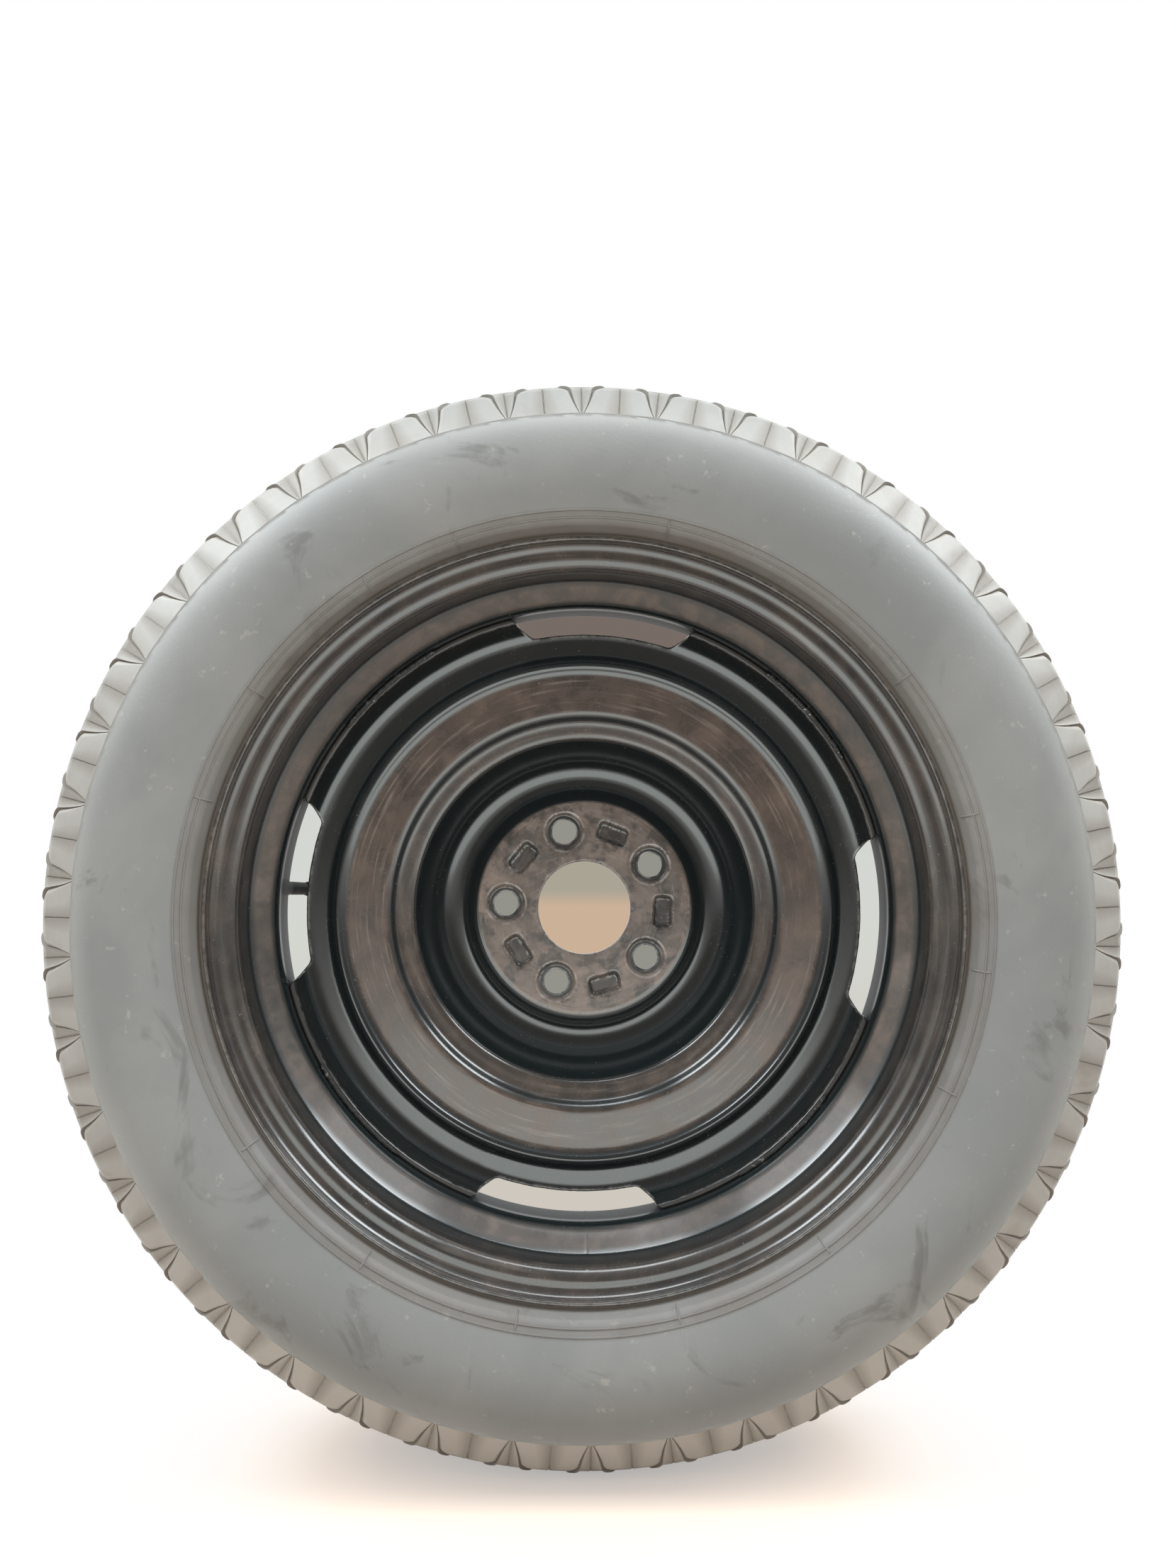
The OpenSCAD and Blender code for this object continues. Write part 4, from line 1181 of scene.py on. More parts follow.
@dataclass
class Disc:
    """The pressed disc: hub pad, groove, ledge, plateau, channel and a flange cut by four vents.

    Attributes:
        sheet_t: Thickness of the sheet.
        nose: Radius of the sheet's cut edges.
        vents: Number of vents.
        first_vent: Angle of the first vent, in degrees.
        vent_half: Half the vent's angle at its inner edge and at the flange's outer face.
        vent_r: Radius of the vent's inner edge.
        vent_round: Radius of its inner corners.
        flange_r: Radius of the flange's inner face.
        plan_r: Radius at which angles are turned into lengths.
        fan_r: Radius up to which the grid's columns are evenly spaced.
        close_r: Radius from which its rows lie close together up to there.
        path: The inboard face from the seam out to the flange's edge.
    """

    sheet_t: float = 4.0
    nose: float = 1.5
    vents: int = 4
    first_vent: float = -3.65
    vent_half: tuple[float, float] = (14.5, 18.07)
    vent_r: float = 198.5
    vent_round: float = 6.0
    flange_r: float = 207.1
    plan_r: float = 203.0
    fan_r: float = 176.5
    close_r: float = 164.5
    path: tuple[Vertex, ...] = (
        (72.0, -32.0, 0.0), (78.0, -32.0, 2.4), (87.0, -50.0, 9.5), (105.0, -50.0, 17.0),
        (121.5, -12.5, 5.0), (132.5, -11.5, 4.0), (138.5, -4.5, 5.0), (168.4, -5.4, 8.0),
        (173.8, 0.6, 3.0), (181.8, -19.0, 4.0), (207.1, -19.0, 14.0), (207.1, 5.0, 0.0))

    def track(self) -> Track:
        """The inboard face's profile."""
        return Track(densified(rounded(self.path, 3.0), 0.7))

    def side_angle(self, r: Array) -> Array:
        """Half the vent's angle at radius r, in degrees: it grows evenly from the inner edge outwards."""
        low, high = self.vent_half
        return low + (high - low) * (r - self.vent_r) / (self.flange_r + self.sheet_t - self.vent_r)

    def border(self, track: Track) -> tuple[Array, Array, Array, Array]:
        """One quarter of the disc's edge, from a vent's middle to the next vent's middle.

        The vents are cut along the axis, so both faces share one outline in plan: the inner edge on an
        arc, a rounded corner and a side that opens outwards. Each face reads its distance along the
        profile back from the outline's radius; past the bend the cut follows the flange.

        Args:
            track: The inboard face's profile.

        Returns:
            Angles in degrees from the vent's middle and distances along the profile, for the inboard
            face, then for the outboard face.
        """
        fine = np.linspace(track.where_x(180.0), track.length, 3000)
        r_in = np.maximum.accumulate(track.point(fine)[0])
        r_out = np.maximum.accumulate(track.point(fine)[0] + track.right(fine, 0.8)[0] * self.sheet_t)
        bend_r = self.flange_r - 0.01
        bend, end = track.where_x(bend_r), track.length
        scale = math.radians(1.0) * self.plan_r
        low, high = self.vent_half[0], float(self.side_angle(np.array(self.flange_r)))
        plan = rounded([(0.0, self.vent_r, 0.0), (low * scale, self.vent_r, self.vent_round),
                        (high * scale, bend_r, 0.0)], 5.0)
        plan = densified(plan, 0.1)
        cut = np.stack([plan[:, 0], np.interp(plan[:, 1], r_in, fine)], 1)
        land = 180 / self.vents * scale
        flange = rounded([(high * scale, bend, 0.0), (high * scale, end, 1.6), (land, end, 0.0)], 15.0)
        line = Track(np.vstack([cut, flange[1:]]))
        steps = np.concatenate([np.arange(0, 44, 2.6), np.arange(44, 96, 1.6),
                                np.arange(96, line.length - 2, 4.2)])
        x, v = line.point(np.append(steps, line.length))
        radius = np.interp(x, plan[:, 0], plan[:, 1])
        first = float(np.interp(self.flange_r, r_out, fine))
        on_flange = first + (v - bend) * (end - first) / (end - bend)
        v_out = np.where(v < bend, np.interp(radius, r_out, fine), on_flange)
        gap = np.where(v < bend, 0.0, self.side_angle(np.interp(v_out, fine, r_out)) - high)
        x_out = x + scale * gap * (1 - smooth(x / scale, high + 1.0, high + 5.0))
        x, x_out = (np.concatenate([c, 2 * land - c[-2:0:-1]]) for c in (x, x_out))
        v, v_out = (np.concatenate([c, c[-2:0:-1]]) for c in (v, v_out))
        return x / scale, v, x_out / scale, v_out

    def ring(self) -> Shell:
        """Everything outside the pad.

        Its columns start evenly on the seam and fan out to the edge's points, so every land and vent
        is followed by the same grid. Near the edge the sheet is rounded by a quarter circle on each
        face, and between them the wall goes from one face's edge to the other's.

        Returns:
            One closed shell.
        """
        track = self.track()
        qa, qv, oa, ov = self.border(track)
        pitch = 360 / self.vents
        size = np.hypot(np.diff(np.append(qa, pitch)) * math.radians(1) * self.plan_r,
                        np.diff(np.append(qv, qv[0])))
        share = (np.cumsum(size) - size) / size.sum() * pitch
        turns = self.first_vent + pitch * np.arange(self.vents)[:, None]
        base, front_a, back_a = (np.radians((turns + a).reshape(-1)) for a in (share, qa, oa))
        front_v, back_v = np.tile(qv, self.vents), np.tile(ov, self.vents)
        split, close = track.where_x(self.fan_r), track.where_x(self.close_r)

        def edge(z: float) -> tuple[Array, Array]:
            """The cut's line, with the slight waves of a sheared edge on the vents.

            Args:
                z: Depth in the sheet.

            Returns:
                Angles, and distances along the profile.
            """
            t = z / self.sheet_t
            wave = 0.10 * np.sin(front_a * 97 + 1.7 * t) + 0.07 * np.sin(front_a * 163 + 1.0 - 2.3 * t)
            v = front_v + (back_v - front_v) * t
            return front_a + (back_a - front_a) * t, v - np.abs(wave) * (v < track.length - 20)

        def inset(z: float, reach: float) -> tuple[Array, Array]:
            """The cut's line moved inwards along the sheet, square to its own tangent.

            Args:
                z: Depth in the sheet.
                reach: How far it is moved.

            Returns:
                Angles, and distances along the profile.
            """
            a, v = edge(z)
            r = track.point(v)[0]
            da = (np.roll(a, -1) - np.roll(a, 1) + math.pi) % (2 * math.pi) - math.pi
            along = np.stack([da * r, np.roll(v, -1) - np.roll(v, 1)], 1)
            along /= np.linalg.norm(along, axis=1)[:, None]
            return a + along[:, 1] * reach / r, v - along[:, 0] * reach

        def face(z: float, step: float, rows: int) -> tuple[Array, Array, Array]:
            """One face from the seam to the rounded edge.

            Args:
                z: Depth in the sheet.
                step: Distance of the rows up to the close ones.
                rows: Number of rows that fan out to the edge.

            Returns:
                Angles, distances along the profile, and depths.
            """
            near = np.append(np.linspace(0, close, int(close / step))[:-1],
                             np.linspace(close, split, int(40 / step)))
            a_in, v_in = inset(z, self.nose)
            t = np.linspace(0, 1, rows + 1)[1:, None]
            a = np.vstack([np.tile(base, (len(near), 1)), base + (a_in - base) * t])
            v = np.vstack([np.tile(near[:, None], (1, len(base))), split + (v_in - split) * t])
            return a, v, np.full(a.shape, z)

        front, back = face(0.0, 2.1, 21), face(self.sheet_t, 3.2, 12)
        turn = np.radians([22.5, 45.0, 67.5, 90.0])
        deep, off = self.nose * (1 - np.cos(turn)), self.nose * (1 - np.sin(turn))
        depths = [*deep, 0.4 * self.sheet_t, 0.6 * self.sheet_t, *(self.sheet_t - deep[::-1])]
        offs = [*off, 0.0, 0.0, *off[::-1]]
        noses = [(*inset(z, reach), np.full(len(base), z)) for z, reach in zip(depths, offs)]
        a, v, z = (np.vstack([front[i], *[nose[i] for nose in noses], back[i][::-1]]) for i in range(3))
        first, last = len(front[0]), len(front[0]) + len(noses)
        row = np.arange(len(a))[:, None]
        r, h = track.point(v)
        nr, nh = track.right(v, 0.8)
        # Painted highlight: a thin bright line on the pad's outer edge.
        pad_edge_highlight = 0.8 * np.exp(-(((r - 77.2) / 0.5) ** 2))
        marks = {"edge": 0.35 * ((row >= first - 1) & (row <= first)) + pad_edge_highlight,
                 "cut": 1.0 * ((row >= first + 2) & (row < last)),
                 "flat": self.flatness(r),
                 # Painted light: a paler film on the pad's side.
                 "hub": 1 - smooth(r, 76.4, 77.2)}
        return Shell.of_grid(placed(r + nr * z, a, h + nh * z), (True, True), marks).outward()

    @staticmethod
    def flatness(r: Array) -> Array:
        """How much dust a radius holds: the plateau and pad most, the groove and channel little.

        Args:
            r: Radii.

        Returns:
            Shares from 0 to 1.
        """
        plateau = smooth(r, 136, 141) * (1 - smooth(r, 164, 170))
        ledge = smooth(r, 119, 124) * (1 - smooth(r, 131, 136))
        flange = smooth(r, 205, 208)
        hub = 1 - smooth(r, 76.4, 77.4)
        return np.clip(0.95 * plateau + 0.6 * ledge + 0.2 * flange + 0.9 * hub + 0.04, 0, 1)


@dataclass
class HubPad:
    """The disc's hub pad, with its bore, five bolt holes in recesses and five pockets between them.

    Attributes:
        sheet_t: Thickness of the sheet.
        seam_r: Radius at which the rest of the disc begins.
        pad_h: Height of the pad's face.
        bore_r: Radius of the centre bore.
        bore_round: Radius of its inboard edge.
        bolts: Number of bolt holes.
        bolt_r: Radius of the bolt circle.
        bolt_start: Angle of the first hole, in degrees.
        hole_r: Radius of a bolt hole.
        hole_round: Radius of its inboard edge.
        recess: Radius of the recess at its floor and at its mouth, and its depth.
        pocket: Half length, half width, corner radius and depth of a pocket.
        pocket_side: Width of a pocket's sloping side.
        bump_wider: How much wider the pocket's bump is on the outboard face, on every side.
        boss: Radius of the boss behind a recess at its top and at its foot.
        seat: Outer radius and depth of the nut's seat.
    """

    sheet_t: float = 4.0
    seam_r: float = 72.0
    pad_h: float = -32.0
    bore_r: float = 33.55
    bore_round: float = 1.4
    bolts: int = 5
    bolt_r: float = 57.15
    bolt_start: float = 33.0
    hole_r: float = 8.7
    hole_round: float = 0.7
    recess: tuple[float, float, float] = (12.0, 14.6, 3.0)
    pocket: tuple[float, float, float, float] = (12.4, 7.8, 4.8, 3.6)
    pocket_side: float = 3.2
    bump_wider: float = 2.0
    boss: tuple[float, float] = (12.5, 16.5)
    seat: tuple[float, float] = (10.5, 3.1)

    @staticmethod
    def rounding(inwards: Array, radius: float) -> Array:
        """How deep a rounded edge lies: a quarter circle, made 2 percent flatter.

        Args:
            inwards: Distances past the rounding's start.
            radius: The rounding's radius.

        Returns:
            The depths.
        """
        lean = np.clip(inwards / radius, 0, 1)
        return radius * (1 - np.sqrt(1 - lean**2)) * 0.98

    def pocket_depth(self, x: Array, y: Array, wider: float) -> Array:
        """How deep a pocket is: a smooth step of the distance inside a rounded rectangle.

        Args:
            x: Distance from the pocket's middle, along the bolt circle.
            y: Distance from it, away from the axis.
            wider: How much wider than the pocket the rectangle is on every side.

        Returns:
            The depth, zero outside.
        """
        long, wide, rad, low = self.pocket
        qx, qy = np.abs(x) - long - wider + rad, np.abs(y) - wide - wider + rad
        away = np.hypot(np.maximum(qx, 0), np.maximum(qy, 0)) + np.minimum(np.maximum(qx, qy), 0) - rad
        return low * smooth(-away, 0.0, self.pocket_side)

    def sector(self, face: Face, steps: Array) -> tuple[Array, Array]:
        """One fifth of a face, as rings round its hole that grow into the fifth's outline.

        The inboard face is the sum of the recess round the hole, the pocket and the roundings at bore
        and hole. The outboard face is the sheet with the boss and the pocket's bump, less the nut's
        conical seat.

        Args:
            face: Which face.
            steps: Shares of the way from the hole to the outline, one for each ring.

        Returns:
            The grid of x, y relative to the axis, and its depth below the pad's plane.
        """
        rim = self.outline(30, 26, 22)
        hole = np.array([self.bolt_r, 0.0])
        ray = rim - hole
        start = hole + ray / np.linalg.norm(ray, axis=1)[:, None] * self.hole_r
        xy = start + (rim - start) * steps[:, None, None]
        rho = np.linalg.norm(xy - hole, axis=2)
        radius = np.linalg.norm(xy, axis=2)
        angle = np.arctan2(np.abs(xy[..., 1]), xy[..., 0]) - math.pi / self.bolts
        x, y = radius * np.sin(angle), radius * np.cos(angle) - self.bolt_r
        bottom, top, deep = self.recess
        if face is Face.INBOARD:
            dish = deep * (1 - smooth(rho, bottom, top)) + self.pocket_depth(x, y, 0.0)
            bore_edge = self.rounding(self.bore_r + self.bore_round - radius, self.bore_round)
            return xy, dish + bore_edge + self.rounding(self.hole_r + self.hole_round - rho, self.hole_round)
        boss = deep * (1 - smooth(rho, *self.boss))
        seat_r, seat_d = self.seat
        seat = np.clip((seat_r - rho) / (seat_r - self.hole_r), 0, 1) * seat_d
        return xy, self.sheet_t + boss + self.pocket_depth(x, y, self.bump_wider) - seat

    def outline(self, arc: int, side: int, bore: int) -> Array:
        """The outline of one fifth of the pad, for a hole on +X.

        Args:
            arc: Number of steps along the seam.
            side: Number of steps along each straight side.
            bore: Number of steps along the bore.

        Returns:
            Its points once round, as rows of x, y relative to the axis.
        """
        half = math.pi / self.bolts
        t = np.linspace(-half, half, arc + 1)[:-1]
        outer = self.seam_r * np.stack([np.cos(t), np.sin(t)], 1)
        s = np.linspace(self.seam_r, self.bore_r, side + 1)[:-1, None]
        up = s * np.array([math.cos(half), math.sin(half)])
        t = np.linspace(half, -half, bore + 1)[:-1]
        inner = self.bore_r * np.stack([np.cos(t), np.sin(t)], 1)
        s = np.linspace(self.bore_r, self.seam_r, side + 1)[:-1, None]
        down = s * np.array([math.cos(half), -math.sin(half)])
        return np.vstack([outer, up, inner, down])

    def laid(self, fifth: int, xy: Array, deep: Array) -> Array:
        """Turns one fifth of the pad to its place.

        Args:
            fifth: Number of the fifth.
            xy: Its points for a hole on +X, relative to the axis.
            deep: Their depths below the pad's plane.

        Returns:
            The points in the row frame.
        """
        turn = math.radians(self.bolt_start + fifth * 360 / self.bolts)
        cs, sn = math.cos(turn), math.sin(turn)
        px = xy[..., 0] * cs - xy[..., 1] * sn
        pz = xy[..., 0] * sn + xy[..., 1] * cs
        return np.stack([px, -(self.pad_h - deep), pz], -1) * MM

    def wear(self, xy: Array, z: Array, inboard: Array) -> Marks:
        """The marks of one fifth: painted highlights on lips round holes and pockets, dusty level parts,
        painted shade in recesses and pocket floors.

        Args:
            xy: Its points for a hole on +X, relative to the axis.
            z: Their depths below the pad's plane.
            inboard: Which rows belong to the inboard face.

        Returns:
            Values for each point.
        """
        rho = np.linalg.norm(xy - np.array([self.bolt_r, 0.0]), axis=2)
        # Painted highlights: bright lips round the recess's mouth, the hole and the pockets.
        lip = np.exp(-(((rho - 14.4) / 0.8) ** 2)) + np.exp(-(((rho - 9.2) / 0.6) ** 2))
        lip = lip + 0.6 * np.exp(-(((z - 0.35) / 0.3) ** 2)) * smooth(rho, 16.5, 17.5)
        # Painted shade: recesses are darkened and pocket floors keep less dust film.
        recess_shade = 1 - smooth(rho, 11.2, 12.6)
        low = smooth(z, 0.5, 2.6) * smooth(rho, 15.0, 16.0) * inboard[:, None]
        return {"edge": 0.7 * lip, "flat": (1 - recess_shade) * (0.9 - 0.5 * low), "cut": 0.25 * recess_shade,
                # Painted light: the paler film all over the pad.
                "hub": np.ones(z.shape)}

    def shell(self) -> Shell:
        """Joins the fifths of both faces with the walls of holes, bore and seam.

        Returns:
            One closed shell.
        """
        steps = np.concatenate([[0.0, 0.006, 0.02, 0.045], np.linspace(0.08, 1.0, 34)])
        front_xy, front_z = self.sector(Face.INBOARD, steps)
        back_xy, back_z = self.sector(Face.OUTBOARD, np.append([0.0, 0.04], np.linspace(0.08, 1.0, 20)))
        between = np.array([[1 / 3], [2 / 3]])
        hole_xy, hole_z = [front_xy[0]] * 2, front_z[0] + (back_z[0] - front_z[0]) * between
        xy, z = np.vstack([front_xy[::-1], hole_xy, back_xy]), np.vstack([front_z[::-1], hole_z, back_z])
        marks = self.wear(xy, z, np.arange(len(z)) < len(front_z))
        wall_xy = np.stack([back_xy[-1]] * 3 + [front_xy[-1]])
        wall_z = np.vstack([back_z[-1], back_z[-1] + (front_z[-1] - back_z[-1]) * between, front_z[-1]])
        arc = np.linalg.norm(xy[-1], axis=1)
        closing = (arc < self.bore_r + 1e-6) | (arc > self.seam_r - 1e-6)
        keep = np.where(closing & np.roll(closing, -1))[0]
        parts = []
        for fifth in range(self.bolts):
            parts.append(Shell.of_grid(self.laid(fifth, xy, z), (False, True), marks))
            wall = Shell.of_grid(self.laid(fifth, wall_xy, wall_z), (False, True), {"flat": np.array(0.4)})
            kept = wall.faces[0].reshape(3, len(closing), 4)[:, keep].reshape(-1, 4)
            parts.append(Shell(wall.points, [kept], wall.marks))
        return parts[0].joined(*parts[1:]).outward()


@dataclass
class WeldBead:
    """One weld seam in the corner between the flange's edge and the rim's well.

    Attributes:
        number: Its number, from 1.
        first: Angle of the first seam's middle, in degrees.
        pitch: Angle from one seam to the next.
        span: Angle from end to end, in degrees.
        well_r: Radius of the rim's well on the disc's side.
        edge_h: Height of the flange's edge.
        middle: How far the rod's middle lies from the well and above the flange's edge.
        half_size: Half its depth towards the well and half its height.
        ripple: Distance from one ripple to the next.
    """

    number: int
    first: float = 41.35
    pitch: float = 90.0
    span: float = 22.4
    well_r: float = 211.15
    edge_h: float = 5.0
    middle: tuple[float, float] = (1.75, 1.55)
    half_size: tuple[float, float] = (1.7, 1.45)
    ripple: float = 2.4

    @property
    def centre(self) -> float:
        """The angle of the seam's middle, in degrees."""
        return self.first + self.pitch * (self.number - 1)

    def shell(self) -> Shell:
        """A lumpy rod of round ripples, tapered at both ends, on the corner's line.

        Its section is an ellipse whose size is one plus a sine for the ripples and five slower sines
        for the lumps, and whose middle wanders along two more sines.

        Returns:
            One closed shell.
        """
        s = np.linspace(-1, 1, 190)[:, None]
        turn = np.linspace(0, 2 * math.pi, 19)[:-1][None]
        rng = np.random.default_rng(31 + self.number)
        length = math.radians(self.span) * self.well_r
        taper = np.sqrt(np.clip(1 - np.abs(s) ** 14, 0.0005, 1))
        ripples = 0.10 * np.sin(s * length / 2 * 2 * math.pi / self.ripple + 0.8 * np.cos(turn))
        lumps = sum(0.08 * np.sin(s * k * 9.1 + rng.uniform(0, 6.28) + turn * rng.integers(0, 3))
                    for k in range(1, 6))
        fat = (1 + ripples + lumps * 0.6) * taper
        wander = 0.35 * np.sin(s * 7.3 + self.number) + 0.2 * np.sin(s * 19.0 + 2 * self.number)
        deep, high = self.half_size
        r = self.well_r - self.middle[0] + deep * fat * np.cos(turn) + 0.12 * wander
        h = self.edge_h + self.middle[1] + (high + 0.25 * wander) * fat * np.sin(turn) + 0.2 * wander
        a = math.radians(self.centre) + s * math.radians(self.span / 2)
        grid = placed(np.minimum(r, self.well_r), a, np.maximum(h, self.edge_h - 0.6))
        return Shell.of_grid(grid, (False, True)).capped(s.size, turn.size)


@dataclass
class Valve:
    """The rubber body and the ribbed cap of the snap-in valve, on the CAD valve's own axis.

    Attributes:
        base: Where the axis crosses the rim's visible face, in millimetres of the row frame.
        axis: Its direction towards the cap.
        body_path: Outline of the rubber body, as radius, distance along the axis, corner radius.
        cap_path: Outline of the cap, in the same way.
        ribs: Number of ribs round the cap.
    """

    base: Vertex = (-218.5471, 26.5359, 14.5159)
    axis: Vertex = (0.651235, 0.757643, -0.043255)
    body_path: tuple[Vertex, ...] = (
        (3.14, -9.2, 0.0), (7.2, -9.2, 1.0), (9.2, -4.2, 1.0), (5.55, -2.7, 0.3), (5.55, 0.1, 0.2),
        (7.05, 0.1, 0.5), (7.0, 1.5, 1.0), (4.8, 6.5, 4.0), (4.5, 21.0, 1.0), (3.14, 21.0, 0.0))
    cap_path: tuple[Vertex, ...] = (
        (4.05, 21.4, 0.0), (5.0, 21.4, 0.4), (4.62, 32.9, 1.3), (0.02, 32.9, 0.0), (0.02, 31.5, 0.0),
        (4.05, 31.5, 0.3))
    ribs: int = 12

    def spun(self, path: Sequence[Vertex], ribs: int = 0) -> Shell:
        """Carries an outline round the valve's axis.

        Args:
            path: The closed outline, as radius, distance along the axis, corner radius.
            ribs: How many times a cosine swells its side on the way round.

        Returns:
            One closed shell.
        """
        loop = rounded(path, 10.0, closed=True)
        loop = densified(np.vstack([loop, loop[:1]]), 1.2)[:-1]
        t = np.linspace(0, 2 * math.pi, 97)[:-1][:, None]
        r, z = loop[None, :, 0], loop[None, :, 1]
        if ribs:
            side = smooth(r, 4.3, 4.55) * smooth(z, 22.2, 23.0) * (1 - smooth(z, 30.6, 31.6))
            r = r + 0.34 * side * np.clip(np.cos(t * ribs) * 1.6, -0.2, 1)
        up = unit(np.array(self.axis))
        one = unit(np.cross(up, [0.0, 1.0, 0.0]))
        two = np.cross(up, one)
        r, z, t = (c[..., None] for c in np.broadcast_arrays(r, z, t))
        points = (np.array(self.base) + z * up + r * (np.cos(t) * one + np.sin(t) * two)) * MM
        return Shell.of_grid(points, (True, True)).outward()


# Scene


@dataclass
class Studio:
    """Floor, light and the camera at the photograph's viewing angle.

    Attributes:
        floor_z: Height of the floor, just below the tyre.
        floor_half: Half its width.
        focal_px: Focal length in pixels of the photograph.
        frame: Width and height of the photograph in pixels.
        eye_mm: The camera's place as right, up and towards the camera, from the wheel's centre.
        pitch: How far it looks down or up, in degrees.
        yaw: How far it looks aside, in degrees.
        card_y: How far behind the wheel's centre the card hangs.
        card_r: Radius of the card.
    """

    floor_z: float = -0.3681
    floor_half: float = 14.0
    focal_px: float = 1638.4
    frame: tuple[int, int] = (1659, 2212)
    eye_mm: Vertex = (-10.4, 29.3, 817.6)
    pitch: float = -4.10
    yaw: float = 0.88
    card_y: float = 0.063
    card_r: float = 0.242

    def camera(self) -> None:
        """Sets the camera: its axes are the rows of Rx(pitch) Ry(yaw) in the wheel's frame."""
        cp, sp = math.cos(math.radians(self.pitch)), math.sin(math.radians(self.pitch))
        cy, sy = math.cos(math.radians(self.yaw)), math.sin(math.radians(self.yaw))
        about_x = np.array([[1, 0, 0], [0, cp, -sp], [0, sp, cp]])
        about_y = np.array([[cy, 0, sy], [0, 1, 0], [-sy, 0, cy]])
        swap = np.array([[1, 0, 0], [0, 0, -1], [0, 1, 0]], float)
        matrix = np.eye(4)
        matrix[:3, :3] = swap @ (about_x @ about_y).T
        matrix[:3, 3] = swap @ np.array(self.eye_mm) * MM
        data = bpy.data.cameras.new("Camera")
        data.sensor_fit, data.sensor_width = "AUTO", 36.0
        data.lens = self.focal_px / max(self.frame) * data.sensor_width
        data.clip_start, data.clip_end = 0.02, 100.0
        cam = bpy.data.objects.new("Camera", data)
        bpy.context.scene.collection.objects.link(cam)
        cam.matrix_world = Matrix(matrix.tolist())
        bpy.context.scene.camera = cam

    def lamp(self, name: str, place: Vertex, size: tuple[float, float], watts: float, colour: Colour,
             aim: Vertex = (0.0, 0.0, 0.0)) -> bpy.types.Object:
        """Adds a rectangular lamp, which the camera doesn't see.

        Args:
            name: Its name.
            place: Its middle, in metres.
            size: Its width and its height or depth.
            watts: Its power.
            colour: Its colour.
            aim: The point that it looks at.

        Returns:
            The lamp.
        """
        data = bpy.data.lights.new(name, "AREA")
        data.shape, data.size, data.size_y = "RECTANGLE", size[0], size[1]
        data.energy, data.color = watts, colour
        obj = bpy.data.objects.new(name, data)
        bpy.context.scene.collection.objects.link(obj)
        obj.visible_camera = False
        back = unit(np.array(place) - np.array(aim))
        right = unit(np.cross([0.0, 0.0, 1.0], back))
        axes = np.stack([right, np.cross(back, right), back], 1)
        obj.matrix_world = Matrix([[*axes[i], place[i]] for i in range(3)] + [[0, 0, 0, 1]])
        return obj

    def floor(self) -> None:
        """Lays a wide pale floor: plain white, but for the wheel's warm shadow near its foot."""
        s, z = self.floor_half, self.floor_z
        grid = np.array([[[-s, -s, z], [s, -s, z]], [[-s, s, z], [s, s, z]]])
        obj = Shell.of_grid(grid, (False, False)).flipped().into("Floor")
        if obj.data.polygons[0].normal.z < 0:
            obj.data.flip_normals()
        b = Board("Floor")
        x, y, _ = b.axes()
        far = ((x * x * 1.2 + y * y * 2.2) ** 0.5).step(0.08, 0.34)
        seen = b.node("ShaderNodeLightPath", output="Is Camera Ray")
        white = (seen * far.most(0.4)).most(seen.other("Is Glossy Ray") * far * 0.5)
        tone = b.mix(seen, (0.50, 0.42, 0.36), (0.98, 0.76, 0.59))
        shade = b.node("ShaderNodeBsdfDiffuse", None, {"Color": tone})
        obj.data.materials.append(b.glowing(white, shade, WHITE))

    def card(self) -> None:
        """Hangs a round card behind the wheel, which shows through its holes and lights nothing.

        It is dark at its top, warm in its middle and pale below; its back is clear, so that it hides
        nothing from the outboard side.
        """
        turn = np.linspace(0, 2 * math.pi, 65)[:-1]
        r = np.array([0.02, 0.08, 0.15, self.card_r])[:, None]
        grid = np.stack([r * np.cos(turn), np.full((len(r), len(turn)), self.card_y), r * np.sin(turn)], -1)
        middle = Shell(grid[0], [np.arange(len(turn))[None]])
        obj = Shell.of_grid(grid, (False, True)).joined(middle).into("Back card")
        if obj.data.polygons[0].normal.y > 0:
            obj.data.flip_normals()
        b = Board("Back card")
        x, _, z = b.axes()
        from_axis = x * x + z * z
        tone = b.mix(z.step(-0.2, 0.02), (0.62, 0.58, 0.52), (0.66, 0.68, 0.64))
        tone = b.mix(z.step(0.10, 0.19), tone, (0.185, 0.15, 0.13))
        tone = b.mix(from_axis.step(0.006, 0.016, (1.0, 0.0)), tone, (0.29, 0.29, 0.255))
        bore = b.mix(z.step(-0.002, 0.014), (0.60, 0.44, 0.31), (0.40, 0.37, 0.30))
        tone = b.mix(from_axis.step(0.0017, 0.0024, (1.0, 0.0)), tone, bore)
        seen = b.node("ShaderNodeLightPath", output="Is Camera Ray")
        back = b.node("ShaderNodeNewGeometry", output="Backfacing")
        clear = b.node("ShaderNodeBsdfTransparent")
        obj.data.materials.append(b.glowing(seen * (1 - back), clear, tone))

    def world(self) -> None:
        """A plain room: pale above and at the sides, warm below, brownish behind the camera, white to it."""
        world = bpy.data.worlds.new("Room")
        bpy.context.scene.world = world
        b = Board("Room", world)
        side = b.node("ShaderNodeSeparateXYZ", None, {0: b.node("ShaderNodeTexCoord", output="Generated")})
        ahead, up = side.other(1), side.other(2)
        tone = b.mix(up.step(-0.4, 0.5), (0.86, 0.68, 0.54), (0.90, 0.95, 1.0))
        tone = b.mix(ahead.step(-0.92, -0.3, (0.85, 0.0)), tone, (0.28, 0.215, 0.17))
        camera = b.node("ShaderNodeLightPath", output="Is Camera Ray")
        behind = ahead.step(0.02, 0.3) * camera.other("Is Glossy Ray")
        seen = camera.most(camera.other("Is Transmission Ray")).most(behind)
        given = {"Color": b.mix(seen, tone, WHITE), "Strength": 0.5 + seen * 0.5}
        b.shown(b.node("ShaderNodeBackground", None, given))

